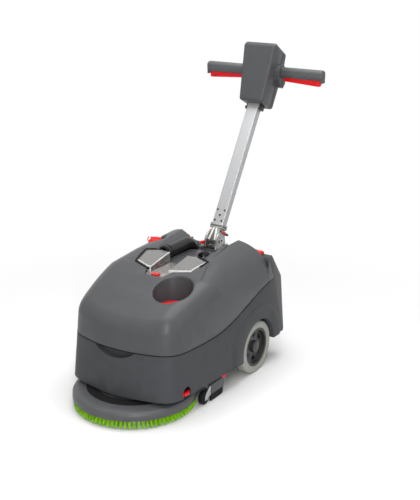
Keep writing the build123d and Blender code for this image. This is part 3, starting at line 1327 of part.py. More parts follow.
def make_head():
    whole = head_form(0)
    boss = across([(BAR_BACK + b, BAR_Z + z) for b, z in BOSS_OUTLINE], COLLAR_X)
    ends = boss.faces().sort_by(Axis.X)
    whole += fillet(ends[0].edges() + ends[-1].edges(), BOSS_ROUNDING)
    bar_boss = both_sides(rod(HEAD_LOW_HALF - 8, COLLAR_X, BAR_BACK, BAR_Z, BOSS_CORE_R))
    whole -= head_form(HEAD_WALL) - bar_boss
    whole -= rod(-WIDE, WIDE, BAR_BACK, BAR_Z, BAR_R)
    whole -= column_box(COLUMN_W + 2 * CLEARANCE, COLUMN_D + 2 * CLEARANCE, 0, COLUMN_END + CLEARANCE)
    whole -= panel_solid(CLEARANCE, 0)
    for x in (-BUTTON_X, BUTTON_X):
        whole -= button_solid(x, BUTTON_R + BUTTON_ROOM, -4 * HEAD_WALL, 1)
    front_part = head_split()
    return whole & front_part, whole - front_part


def make_panel():
    panel = panel_solid(0, 0)
    for x in (-BUTTON_X, BUTTON_X):
        panel -= button_solid(x, BUTTON_R + CLEARANCE, -20, 20)
    return panel - panel_plane() * Pos(0, DISPLAY_UP, PANEL_PROUD) * Box(*DISPLAY_SIZE)


def make_button(x):
    return button_solid(x, BUTTON_R, -BUTTON_DEPTH, PANEL_PROUD + BUTTON_PROUD)


def make_bar():
    bar = rod(-BAR_HALF, BAR_HALF, BAR_BACK, BAR_Z, BAR_R)
    return bar - rod(-WIDE, WIDE, BAR_BACK, BAR_Z, BAR_R - BAR_WALL)


def make_grips():
    length = GRIP_END_X - COLLAR_X - CLEARANCE
    grip = Pos((GRIP_END_X + COLLAR_X + CLEARANCE) / 2, back(BAR_BACK), BAR_Z) * Box(length, GRIP_D, GRIP_H)
    grip = fillet(grip.edges().filter_by(Axis.X), GRIP_ROUNDING)
    grip = fillet(grip.faces().sort_by(Axis.X)[-1].edges(), GRIP_END_ROUNDING)
    grip -= rod(0, BAR_HALF + CLEARANCE, BAR_BACK, BAR_Z, BAR_R)
    low = BAR_Z - GRIP_H / 2
    slot_in, slot_out = TRIGGER_IN_X - TRIGGER_PLAY, TRIGGER_OUT_X + TRIGGER_PLAY
    slot_front, slot_rear = BAR_BACK - GRIP_SLOT_HALF, BAR_BACK + GRIP_SLOT_HALF
    grip -= block(slot_in, slot_out, slot_front, slot_rear, low - 1, BAR_Z - BAR_R + GRIP_SLOT_INTO_BORE)
    return [grip, mirror(grip, Plane.YZ)]


def make_trigger(sign):
    top = BAR_Z - GRIP_H / 2 + TRIGGER_LIFT
    corners = [(TRIGGER_IN_X, top), (TRIGGER_IN_X, top - TRIGGER_IN_H), (TRIGGER_OUT_X, top - TRIGGER_H),
               (TRIGGER_OUT_X, top)]
    wedge = make_face(Polyline(*corners, close=True))
    wedge = fillet([v for v in wedge.vertices() if v.Y < top - 1], TRIGGER_END_R)
    bar = Pos(0, back(BAR_BACK), 0) * extrude(Plane.XZ * wedge, amount=TRIGGER_T / 2, both=True)
    return bar if sign > 0 else mirror(bar, Plane.YZ)


def save(name, shape):
    """Write one node, which may hold several separate solids."""
    pieces = shape if isinstance(shape, list) else [shape]
    solids = [solid for piece in pieces for solid in piece.solids()]
    export_step(Compound(children=solids), f"parts/{name}.step")


def main():
    os.makedirs("parts", exist_ok=True)
    head_front, head_rear = make_head()
    nodes = {
        "lower_body": make_lower_body(),
        "rear_housing": make_rear_housing(),
        "chassis_frame": make_frame(),
        "axle": make_axle(),
        "column_base": make_base(),
        "base_bolts": make_bolts(),
        "control_board": make_board(),
        "vacuum_motor": make_vacuum_motor(),
        "vacuum_fan": make_fan(),
        "suction_hose": make_hose(),
        "battery_pack": make_battery(),
        "brush_release_left": make_release(-1),
        "brush_release_right": make_release(1),
        "deck_housing": make_deck(),
        "gear_case": make_gear_case(),
        "brush_motor": make_brush_motor(),
        "motor_pinion": make_pinion(),
        "drive_gear": make_gear(),
        "drive_spindle": make_spindle(),
        "brush_back": make_brush_back(),
        "bristles_outer": make_bristles_outer(),
        "bristles_inner": make_bristles_inner(),
        "water_tank": make_tank(),
        "dirty_water_tub": make_tub(),
        "lid_seal": make_seal(),
        "separator_lid": make_lid(),
        "suction_elbow": make_elbow(),
        "float_cage": make_cage(),
        "float_ball": make_float(),
        "lid_latch": make_lid_latch(),
        "drain_plug": make_plug(),
        "filler_neck": make_neck(),
        "filler_cap": make_cap(),
        "cap_strap": make_strap(),
        "tank_latch_left": make_tank_latch(-LATCH_X),
        "tank_latch_right": make_tank_latch(LATCH_X),
        "column_tube": make_tube(),
        "column_foot": make_foot(),
        "pivot_pin": make_pin(),
        "tube_screws": make_tube_screws(),
        "latch_plunger": make_plunger(),
        "fold_lever": make_fold_lever(),
        "head_front": head_front,
        "head_rear": head_rear,
        "control_panel": make_panel(),
        "power_button": make_button(-BUTTON_X),
        "flow_button": make_button(BUTTON_X),
        "handle_bar": make_bar(),
        "hand_grips": make_grips(),
        "trigger_left": make_trigger(-1),
        "trigger_right": make_trigger(1),
        "tyre_left": make_tyre(-1),
        "tyre_right": make_tyre(1),
        "hub_left": make_hub(-1),
        "hub_right": make_hub(1),
        "squeegee_body": make_squeegee_body(),
        "squeegee_blades": make_blades(),
        "caster_forks": make_forks(),
        "caster_left": make_caster(-CASTER_X),
        "caster_right": make_caster(CASTER_X),
    }
    for name, shape in nodes.items():
        save(name, shape)


main()
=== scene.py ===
import json
import math
import random

import bpy
from mathutils import Matrix, Vector
from mathutils.bvhtree import BVHTree


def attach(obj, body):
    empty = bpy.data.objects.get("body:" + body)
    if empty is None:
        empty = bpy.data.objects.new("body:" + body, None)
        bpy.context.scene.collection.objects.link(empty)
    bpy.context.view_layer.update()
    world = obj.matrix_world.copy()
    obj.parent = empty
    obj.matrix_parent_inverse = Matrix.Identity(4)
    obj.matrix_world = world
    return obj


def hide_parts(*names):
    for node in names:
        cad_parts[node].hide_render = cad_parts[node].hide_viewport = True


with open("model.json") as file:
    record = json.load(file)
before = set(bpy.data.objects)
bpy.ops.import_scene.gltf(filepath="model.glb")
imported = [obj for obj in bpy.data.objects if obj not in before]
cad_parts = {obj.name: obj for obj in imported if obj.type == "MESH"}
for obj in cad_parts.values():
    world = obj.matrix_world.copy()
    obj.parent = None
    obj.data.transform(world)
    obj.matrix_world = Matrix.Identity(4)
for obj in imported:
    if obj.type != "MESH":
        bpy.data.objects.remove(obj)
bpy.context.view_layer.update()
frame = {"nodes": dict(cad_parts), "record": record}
record = frame["record"]
body_of_node = {n: b for b, nodes in record["behaviour"]["bodies"].items() for n in nodes}
slot_of_node = {part["node"]: part["material_slot"] for part in record["subparts"]}

MM = 0.001
BRUSH_Y = -0.3365  # Y of the brush axis in metres
X, Y, FORWARD = (1, 0, 0), (0, 1, 0), (0, -1, 0)
SIDES = (-1, 1)  # sign of x on the left and on the right
WELD = 0.01 * MM  # corners closer than this become one
SLIVER = 0.005 * MM  # edges shorter than this are taken out
FLAT = math.radians(0.6)  # faces that meet at less than this are one flat
EDGE_SEGMENTS = 2  # faces across an eased edge
CAST_HEIGHT = 0.6  # metres, above the body's top
BAND_STEP = 5  # millimetres between the cross lines of a strip
ROUND = 96  # steps of a large turned ring
chance = random.Random(11)


def back(distance):
    """Y in metres of a place that lies this many millimetres behind the brush axis."""
    return BRUSH_Y + distance * MM


def behind(y):
    """Millimetres behind the brush axis of a place at this Y."""
    return (y - BRUSH_Y) / MM


# Tools of the bench

def only(piece):
    """Selects one piece and nothing else."""
    bpy.ops.object.select_all(action="DESELECT")
    piece.select_set(True)
    bpy.context.view_layer.objects.active = piece


def open_whole(piece):
    """Opens a piece in edit mode with everything selected."""
    only(piece)
    bpy.ops.object.mode_set(mode="EDIT")
    bpy.ops.mesh.select_mode(type="VERT")
    bpy.ops.mesh.select_all(action="SELECT")


def close():
    """Leaves edit mode."""
    bpy.ops.object.mode_set(mode="OBJECT")


def outward(piece):
    """Merges doubles and turns every face outwards."""
    open_whole(piece)
    bpy.ops.mesh.remove_doubles(threshold=WELD)
    bpy.ops.mesh.dissolve_degenerate(threshold=SLIVER)
    bpy.ops.mesh.normals_make_consistent(inside=False)
    close()


def thicken(piece, depth):
    """Pulls a flat piece up by a depth in millimetres."""
    open_whole(piece)
    bpy.ops.mesh.extrude_region_move(TRANSFORM_OT_translate={"value": (0, 0, depth * MM)})
    close()
    outward(piece)


def ease(piece, width, angle=35, finish_index=-1):
    """Rounds the sharp edges of a piece by a width in millimetres; the rounding may take a finish of its own."""
    only(piece)
    bevel = piece.modifiers.new("eased_edges", "BEVEL")
    bevel.material = finish_index
    bevel.width = width * MM
    bevel.segments = EDGE_SEGMENTS
    bevel.limit_method = "ANGLE"
    bevel.angle_limit = math.radians(angle)
    bpy.ops.object.modifier_apply(modifier=bevel.name)


def smooth(piece, angle=38):
    """Shades a piece smooth, except at edges sharper than an angle in degrees."""
    only(piece)
    bpy.ops.object.shade_smooth_by_angle(angle=math.radians(angle))


def joined(pieces):
    """One piece made of several."""
    only(pieces[0])
    for piece in pieces:
        piece.select_set(True)
    bpy.ops.object.join()
    return bpy.context.object


def copy_of(piece, move):
    """Copy with a mesh of its own, moved by a matrix."""
    twin = bpy.data.objects.new(piece.name, piece.data.copy())
    twin.data.transform(move)
    bpy.context.collection.objects.link(twin)
    return twin


def mirrored(piece):
    """Copy on the other side of the machine."""
    twin = copy_of(piece, Matrix.Scale(-1, 4, X))
    outward(twin)
    return twin


def swapped(piece):
    """The piece itself on the other side of the machine."""
    twin = mirrored(piece)
    bpy.data.objects.remove(piece)
    return twin


def pressed(outline, depth, place, edge):
    """Flat outline in millimetres pulled out to a depth and eased, then put in its place."""
    bpy.ops.mesh.primitive_circle_add(vertices=len(outline), fill_type="NGON")
    piece = bpy.context.object
    for vertex, (u, v) in zip(piece.data.vertices, outline):
        vertex.co = (u * MM, v * MM, -depth * MM / 2)
    thicken(piece, depth)
    ease(piece, edge)
    piece.data.transform(place)
    smooth(piece)
    return piece


def turned(profile, place, steps):
    """Ring or knob turned about its own Z from (radius, height) corners in millimetres, then placed."""
    bpy.ops.mesh.primitive_circle_add(vertices=len(profile), fill_type="NOTHING")
    piece = bpy.context.object
    for vertex, (radius, height) in zip(piece.data.vertices, profile):
        vertex.co = (radius * MM, 0, height * MM)
    open_whole(piece)
    bpy.ops.mesh.spin(steps=steps, angle=math.tau, center=(0, 0, 0), axis=(0, 0, 1))
    close()
    outward(piece)
    piece.data.transform(place)
    smooth(piece)
    return piece


def brick(size, place, edge):
    """Block in millimetres with eased edges."""
    bpy.ops.mesh.primitive_cube_add(size=1)
    piece = bpy.context.object
    piece.data.transform(Matrix.Diagonal((*(s * MM for s in size), 1)))
    ease(piece, edge)
    piece.data.transform(place)
    smooth(piece)
    return piece


def band(line, centre, inner, outer, height, thick):
    """Flat strip along a line of (x, back) corners, from one offset to another away from a centre."""
    path = []
    for (x0, b0), (x1, b1) in zip(line, line[1:]):
        steps = max(2, round(math.hypot(x1 - x0, b1 - b0) / BAND_STEP))
        path += [(x0 + (x1 - x0) * i / steps, b0 + (b1 - b0) * i / steps) for i in range(steps)]
    path.append(line[-1])
    bpy.ops.mesh.primitive_grid_add(x_subdivisions=len(path) - 1, y_subdivisions=2, size=1)
    strip = bpy.context.object
    for vertex in strip.data.vertices:
        step = round((vertex.co.x + 0.5) * (len(path) - 1))
        reach = inner + (outer - inner) * (vertex.co.y + 0.5)
        spot = Vector(path[step]) + (Vector(path[step]) - Vector(centre)).normalized() * reach
        vertex.co = (spot.x * MM, back(spot.y), height(spot.x * MM, back(spot.y)))
    thicken(strip, thick)
    ease(strip, 0.35, 40)
    smooth(strip)
    return strip


def tree_of(node):
    """Search tree of a CAD piece's faces."""
    mesh = frame["nodes"][node].data
    return BVHTree.FromPolygons([v.co for v in mesh.vertices], [list(f.vertices) for f in mesh.polygons])


def top_of(node):
    """Function that gives the height of the top of a CAD piece at one place."""
    tree = tree_of(node)
    return lambda x, y: tree.ray_cast(Vector((x, y, CAST_HEIGHT)), Vector((0, 0, -1)))[0].z


def at(x, distance, z):
    """Place in millimetres, its length given behind the brush axis."""
    return Matrix.Translation((x * MM, back(distance), z * MM))


def frame_of(origin, x_axis, z_axis):
    """Matrix with its own x and z directions."""
    z = Vector(z_axis).normalized()
    x = Vector(x_axis).normalized()
    y = z.cross(x)
    turn = Matrix((x, y, z)).transposed().to_4x4()
    return Matrix.Translation(origin) @ turn


def mount(piece, name, body, finish, slot, *nodes):
    """Names a piece, gives it its finish and lets it ride on a body."""
    piece.name = name
    piece.data.name = name
    piece.data.materials.clear()
    piece.data.materials.append(finish)
    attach(piece, body)
    if nodes:
        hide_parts(*nodes)


# Finishes

def linear(code):
    """Linear colour from an sRGB hex code."""
    levels = [int(code[i:i + 2], 16) / 255 for i in (1, 3, 5)]
    return (*[c / 12.92 if c <= 0.04045 else ((c + 0.055) / 1.055) ** 2.4 for c in levels], 1.0)


def add(tree, kind, settings, inputs):
    """Adds a node with its settings; an input is a value or the socket that feeds it."""
    made = tree.nodes.new(kind)
    for key, value in settings.items():
        setattr(made, key, value)
    for key, value in inputs.items():
        if isinstance(value, bpy.types.NodeSocket):
            tree.links.new(value, made.inputs[key])
        else:
            made.inputs[key].default_value = value
    return made


def noise(tree, coords, size_mm, detail):
    """Value of a noise with features of about this size."""
    made = add(tree, "ShaderNodeTexNoise", {}, {"Vector": coords, "Scale": 1 / (size_mm * MM), "Detail": detail})
    return made.outputs["Fac"]


def tint(tree, surface, value, dark, light):
    """Lets a value move the colour between two tones."""
    made = add(tree, "ShaderNodeMix", {"data_type": "RGBA"},
               {"Factor": value, "A": linear(dark), "B": linear(light)})
    tree.links.new(made.outputs["Result"], surface.inputs["Base Color"])


def gloss(tree, surface, value, smoothest, roughest):
    """Lets a value move the roughness between two levels."""
    made = add(tree, "ShaderNodeMapRange", {}, {"Value": value, "To Min": smoothest, "To Max": roughest})
    tree.links.new(made.outputs["Result"], surface.inputs["Roughness"])


def relief(tree, surface, value, strength, depth_mm):
    """Lets a value raise a fine relief."""
    made = add(tree, "ShaderNodeBump", {}, {"Height": value, "Strength": strength, "Distance": depth_mm * MM})
    tree.links.new(made.outputs["Normal"], surface.inputs["Normal"])


def new_finish(name, shader):
    """Material with its shader's own settings; gives also its nodes and the object's coordinates."""
    finish = bpy.data.materials.new(name)
    finish.use_nodes = True
    tree = finish.node_tree
    surface = tree.nodes["Principled BSDF"]
    for key, value in shader.items():
        surface.inputs[key].default_value = value
    coords = add(tree, "ShaderNodeTexCoord", {}, {})
    return finish, tree, surface, coords.outputs["Object"]


def moulded(name, dark, light, roughness, grain_mm, grain_depth, mottle_mm=45.0, specular=0.5):
    """Moulded plastic: two close tones that drift over the surface, satin gloss and a fine spark-eroded grain."""
    finish, tree, surface, coords = new_finish(name, {"IOR": 1.5, "Specular IOR Level": specular})
    tint(tree, surface, noise(tree, coords, mottle_mm, 3.0), dark, light)
    grain = noise(tree, coords, grain_mm, 2.0)
    gloss(tree, surface, grain, roughness - 0.06, roughness + 0.08)
    relief(tree, surface, grain, 0.35, grain_depth)
    return finish


def filament(name, dark, light):
    """Nylon filament: long streaks down the tuft, each tuft a little lighter or darker."""
    finish, tree, surface, coords = new_finish(name, {"IOR": 1.53, "Roughness": 0.5, "Specular IOR Level": 0.2})
    stretch = add(tree, "ShaderNodeMapping", {}, {"Vector": coords, "Scale": (1.0, 1.0, 0.05)})
    streak = noise(tree, stretch.outputs["Vector"], 1.6, 2.0)
    clump = noise(tree, coords, 14.0, 1.0)
    both = add(tree, "ShaderNodeMath", {"operation": "ADD"}, {0: streak, 1: clump})
    share = add(tree, "ShaderNodeMapRange", {}, {"Value": both.outputs["Value"], "From Min": 0.6, "From Max": 1.4})
    tint(tree, surface, share.outputs["Result"], dark, light)
    relief(tree, surface, streak, 0.5, 0.4)
    return finish


def metal(name, dark, light, roughness, line_mm, depth, stretch=(1, 1, 1), turn=(0, 0, 0), share=1.0):
    """Bare metal: tool lines along one direction that vary its tone and gloss; an anodised coat lowers its share."""
    finish, tree, surface, coords = new_finish(name, {"Metallic": share})
    lie = add(tree, "ShaderNodeMapping", {"vector_type": "TEXTURE"},
              {"Vector": coords, "Rotation": turn, "Scale": stretch})
    lines = noise(tree, lie.outputs["Vector"], line_mm, 4.0)
    tint(tree, surface, lines, dark, light)
    gloss(tree, surface, lines, roughness - 0.08, roughness + 0.1)
    relief(tree, surface, lines, 0.3, depth)
    return finish


def smoky_clear(name, tone, clear_share, roughness):
    """Smoky polycarbonate with a lightly stippled face that scatters what is behind it."""
    finish, tree, surface, coords = new_finish(name, {
        "IOR": 1.58, "Transmission Weight": clear_share, "Base Color": linear(tone)})
    stipple = noise(tree, coords, 1.6, 2.0)
    gloss(tree, surface, stipple, roughness - 0.08, roughness + 0.1)
    relief(tree, surface, stipple, 0.4, 0.15)
    return finish


# The column leans back from the upright; along it and square to it, towards the rear
LEAN = math.radians(31.5)
ALONG = Vector((0, math.sin(LEAN), math.cos(LEAN)))
REARWARD = Vector((0, math.cos(LEAN), -math.sin(LEAN)))

# Fine grain of the real mouldings is about 0.3 mm; it is drawn several times coarser so that it shows.
body_pe = moulded("polyethylene_moulded_grey", "#444547", "#4C4D4F", 0.34, 1.8, 0.12, specular=0.2)
# The same grey polyethylene as the tank, drawn darker as painted shade on the lower body and rear housing, whose faces
# get less light.
lower_pe_painted_shade = moulded("polyethylene_moulded_grey_painted_shade", "#3D3E41", "#464749", 0.42, 1.8, 0.12, specular=0.1)
deck_abs = moulded("abs_moulded_dark_grey", "#464749", "#505153", 0.40, 1.6, 0.12, specular=0.3)
grip_rubber = moulded("elastomer_grip_grey", "#434446", "#4F5052", 0.58, 1.2, 0.25)
black_abs = moulded("abs_moulded_black", "#161617", "#222224", 0.38, 1.6, 0.12)
black_paint = moulded("powder_coat_black", "#161617", "#222224", 0.38, 1.6, 0.12)
# Black rubber of the real rubber parts; the same black also paints shade as the deck ring, the seam strip and the lid
# gasket's raised wall.
black_rubber = moulded("nitrile_rubber_black_and_painted_shade", "#0E0E0F", "#171718", 0.6, 1.4, 0.2, specular=0.15)
red_abs = moulded("abs_glossy_red", "#CC0A12", "#E0121A", 0.34, 4.0, 0.06, specular=0.3)
tyre_rubber = moulded("rubber_non_marking_grey", "#878982", "#9B9D95", 0.66, 2.0, 0.3, mottle_mm=20.0)
pipe_pvc = moulded("pvc_pipe_gloss_black", "#0D0D0E", "#151516", 0.3, 3.0, 0.08, specular=0.35)
panel_film = moulded("polyester_film_black", "#0C0C0D", "#141416", 0.2, 2.5, 0.03)
board_resin = moulded("glass_epoxy_board_green", "#0F4A2C", "#1A6B40", 0.35, 1.5, 0.08)
natural_nylon = moulded("nylon_moulded_natural", "#CFC8B4", "#DDD7C6", 0.42, 2.0, 0.1)
lime_nylon = filament("nylon_filament_lime", "#5E9E06", "#90CA16")
white_nylon = filament("nylon_filament_white", "#CFCAD6", "#F3F0F6")
anodised = metal("aluminium_anodised_satin", "#A7A8A9", "#AFB0B1", 0.46, 3.0, 0.02,
                 stretch=(1, 1, 50), turn=(-LEAN, 0, 0), share=0.5)
cast_zinc = metal("zinc_cast_tumbled", "#8E8E8C", "#AAAAA8", 0.4, 5.0, 0.15)
# Light copy of the cast zinc: painted highlight on faces turned to the light.
zinc_painted_highlight = metal("zinc_cast_painted_highlight", "#D2D2CE", "#E6E6E2", 0.3, 4.0, 0.05)
# Dark copy of the cast zinc: painted shade on faces turned from the light.
zinc_painted_shade = metal("zinc_cast_painted_shade", "#5A5A58", "#727270", 0.5, 3.0, 0.2)
plated_steel = metal("steel_zinc_plated", "#9C9EA0", "#C2C4C6", 0.3, 2.5, 0.05, stretch=(1, 5, 1))
dark_screw = metal("steel_black_oxide", "#2A2A2B", "#3C3C3D", 0.4, 1.5, 0.05)
clear_lid = smoky_clear("polycarbonate_smoky_clear", "#92918F", 0.5, 0.25)
# Near-white copy of the lid plastic: painted highlight on the lid's edges, side walls and rims.
clear_edge_painted_highlight = smoky_clear("polycarbonate_edge_painted_highlight", "#F4F4F2", 0.2, 0.14)
clear_wall = smoky_clear("polycarbonate_clear_wall", "#D9D6D3", 0.9, 0.1)
# Clearer polycarbonate for the channel's floor; its lighter pinkish tone is a painted reflection.
clear_floor_painted_reflection = smoky_clear("polycarbonate_clear_floor_painted_reflection", "#B5AFAD", 0.55, 0.16)
display_glass = moulded("acrylic_window_tinted", "#101614", "#18201C", 0.08, 6.0, 0.01)
lamp_green = moulded("acrylic_lens_green", "#2FA84A", "#45C862", 0.2, 3.0, 0.02)

FINISHES = {
    "body_grey": body_pe, "deck_grey": deck_abs, "black_plastic": black_abs, "panel_black": panel_film,
    "red_plastic": red_abs, "lime_bristle": lime_nylon, "white_bristle": white_nylon, "column_alloy": anodised,
    "zinc_casting": cast_zinc, "steel": plated_steel, "frame_alloy": black_paint, "motor_steel": black_paint,
    "gear_plastic": natural_nylon, "tyre_rubber": tyre_rubber, "black_rubber": black_rubber,
    "clear_lid": clear_lid, "board_green": board_resin,
}


# Skins of the CAD pieces

# Nodes with eased edges, in millimetres
EASED = {
    "column_tube": 0.25, "column_base": 0.8, "column_foot": 0.8, "hub_left": 0.7, "hub_right": 0.7,
    "lower_body": 1.3, "water_tank": 1.3, "rear_housing": 1.2, "deck_housing": 0.8, "head_front": 0.6,
    "head_rear": 0.6, "squeegee_body": 0.8, "trigger_left": 1.5, "trigger_right": 1.5, "hand_grips": 0.6,
    "filler_cap": 0.8, "drain_plug": 0.8, "tank_latch_left": 1.0, "tank_latch_right": 1.0, "fold_lever": 1.0,
    "lid_latch": 1.0, "caster_forks": 0.4, "brush_release_left": 0.6, "brush_release_right": 0.6,
    "battery_pack": 0.8, "base_bolts": 0.5, "tube_screws": 0.4,
}
# Nodes with a finish apart from their slot's
OWN_FINISH = {
    # Lower body and rear housing take the darker copy of the body's grey: painted shade.
    "lower_body": lower_pe_painted_shade, "rear_housing": lower_pe_painted_shade, "suction_elbow": pipe_pvc, "hand_grips": grip_rubber,
    "tube_screws": dark_screw, "hub_left": black_abs, "hub_right": black_abs,
}
# Nodes modelled anew or treated by themselves below
MODELLED = {"bristles_outer", "bristles_inner", "tyre_left", "tyre_right", "separator_lid"}
SKIN_ANGLE = 30  # degrees, from which an edge of a CAD piece is eased


def cad_copy(node, clean_flats):
    """Copy of a CAD piece with its triangles joined and, if asked, its flats made one face each."""
    piece = bpy.data.objects.new(node + "_skin", frame["nodes"][node].data.copy())
    bpy.context.collection.objects.link(piece)
    only(piece)
    bpy.ops.mesh.customdata_custom_splitnormals_clear()
    open_whole(piece)
    bpy.ops.mesh.remove_doubles(threshold=WELD)
    if clean_flats:
        bpy.ops.mesh.dissolve_limited(angle_limit=FLAT)
    close()
    return piece


def make_skins():
    """Smooth, finished copies of the CAD pieces; those with a width in the list above get eased edges."""
    for node in sorted(frame["nodes"]):
        if node in MODELLED:
            continue
        edge = EASED.get(node)
        slot = slot_of_node[node]
        piece = cad_copy(node, edge)
        mount(piece, node + "_skin", body_of_node[node], OWN_FINISH.get(node) or FINISHES[slot], slot, node)
        if edge:
            ease(piece, edge, SKIN_ANGLE)
        smooth(piece)


# Brush: bundles of filaments in rings; every second white ring is staggered

TUFT_TOP = 30.4  # height of the tufts' upper ends
AROUND = 6  # filaments round the middle one of a tuft
OUT_PLAY, SIDE_PLAY = 0.025, 0.04  # radians that a tuft may lean out or sideways by chance
WHITE_ROWS = 9
# Rings as (radius at the top, radius at the floor, tufts, shift in tufts)
LIME_RINGS = [(164.5, 176.5, 86, 0.0), (176, 189, 86, 0.0), (187, 201, 86, 0.0)]
WHITE_RINGS = [(68 + 10.5 * row, 70 + 12.0 * row, round(math.tau * (68 + 10.5 * row) / 12.5), 0.5 * (row % 2))
               for row in range(WHITE_ROWS)]


def tuft(top_spread, foot_spread, strand, length):
    """Seven filaments that splay towards the floor, top at the origin."""
    strands = []
    for step in range(AROUND + 1):
        turn = math.tau * step / AROUND
        reach = 0.0 if step == AROUND else 1.0
        bpy.ops.mesh.primitive_cone_add(vertices=5, radius1=strand * MM, radius2=0.8 * strand * MM,
                                        depth=length * MM, end_fill_type="NGON")
        piece = bpy.context.object
        for vertex in piece.data.vertices:
            spread = foot_spread if vertex.co.z < 0 else top_spread
            vertex.co.x += reach * spread * math.cos(turn) * MM
            vertex.co.y += reach * spread * math.sin(turn) * MM
            vertex.co.z -= length * MM / 2
        strands.append(piece)
    bundle = joined(strands)
    smooth(bundle, 60)
    return bundle


def tuft_ring(pattern, top_r, foot_r, count, shift):
    """Copies of a tuft round the brush, each turned and leant a little by chance."""
    ring = []
    lean = math.atan2(foot_r - top_r, TUFT_TOP)
    for step in range(count):
        turn = math.tau * (step + shift) / count
        place = Matrix.Translation((0, BRUSH_Y, 0)) @ Matrix.Rotation(turn, 4, "Z")
        place @= Matrix.Translation((top_r * MM, 0, TUFT_TOP * MM))
        place @= Matrix.Rotation(-lean + chance.uniform(-OUT_PLAY, OUT_PLAY), 4, "Y")
        place @= Matrix.Rotation(chance.uniform(-SIDE_PLAY, SIDE_PLAY), 4, "X")
        place @= Matrix.Rotation(chance.uniform(0, 1), 4, "Z")
        ring.append(copy_of(pattern, place))
    return ring


def tuft_field(pattern, rings):
    """All rings of one tuft as one piece; the pattern itself goes."""
    tufts = []
    for ring in rings:
        tufts += tuft_ring(pattern, *ring)
    bpy.data.objects.remove(pattern)
    return joined(tufts)


def make_brush():
    """Lime outer bristles and white inner ones."""
    lime = tuft_field(tuft(top_spread=2.1, foot_spread=2.7, strand=1.75, length=30.2), LIME_RINGS)
    mount(lime, "lime_tufts", "brush", lime_nylon, "lime_bristle", "bristles_outer")
    white = tuft_field(tuft(top_spread=1.9, foot_spread=2.9, strand=1.7, length=30.0), WHITE_RINGS)
    mount(white, "white_tufts", "brush", white_nylon, "white_bristle", "bristles_inner")


# Deck and wheels

# Black ring on the deck that paints the shade under the body's front
DECK_SHADE_RING = (128, 160)  # inner and outer radius
WHEEL_CENTRE = (0.204, back(412), 0.095)
TYRE_PROFILE = [(70.2, -20.4), (87, -20.8), (91.5, -19.6), (94.2, -16.5), (95, -12), (95, -7.3), (93.4, -6.7),
                (93.4, -5.5), (95, -4.9), (95, 4.9), (93.4, 5.5), (93.4, 6.7), (95, 7.3), (95, 12), (94.2, 16.5),
                (91.5, 19.6), (87, 20.8), (84.5, 20.8), (83.7, 20.1), (82.3, 20.1), (81.5, 20.8), (70.2, 20.4)]


def make_deck_shade_ring():
    """Black ring on the deck under the body's front, a dark sheet drawn as painted shade in the gap below the body."""
    deck_top = top_of("deck_housing")
    inner, outer = DECK_SHADE_RING
    high, low = [deck_top(0, back(-radius)) / MM for radius in DECK_SHADE_RING]
    ring = turned([(inner, high - 1), (outer, low - 1), (outer, low + 0.8), (inner, high + 2.5)],
                  Matrix.Translation((0, BRUSH_Y, 0)), ROUND)
    mount(ring, "deck_shade_ring", "deck", black_rubber, "black_rubber")


def make_tyres():
    """Pale tyre with two grooves in its tread and a fine ring on its side."""
    right = turned(TYRE_PROFILE, frame_of(WHEEL_CENTRE, Y, X), ROUND)
    left = mirrored(right)
    mount(right, "tyre_tread_right", "wheel_right", tyre_rubber, "tyre_rubber", "tyre_right")
    mount(left, "tyre_tread_left", "wheel_left", tyre_rubber, "tyre_rubber", "tyre_left")


# Hinge of the column

HINGE = Vector((0, back(488), 0.432))
FOOT_FRONT = 17.4  # from the hinge to the casting's front, square to the column
PIN_END = 0.0291  # metres from the middle
PIN_CAP = [(0, 0), (4.2, 0), (4.2, 0.6), (3.6, 1.2), (1.8, 1.2), (1.6, 0.5), (0, 0.5)]


def on_column(x, depth, along):
    """Place on the column: x across, depth to its rear and along the tube, in millimetres."""
    return HINGE + Vector((x * MM, 0, 0)) + REARWARD * depth * MM + ALONG * along * MM


def column_brick(size, x, depth, along, edge):
    """Block in millimetres that stands square to the column."""
    return brick(size, frame_of(on_column(x, depth, along), X, ALONG), edge)


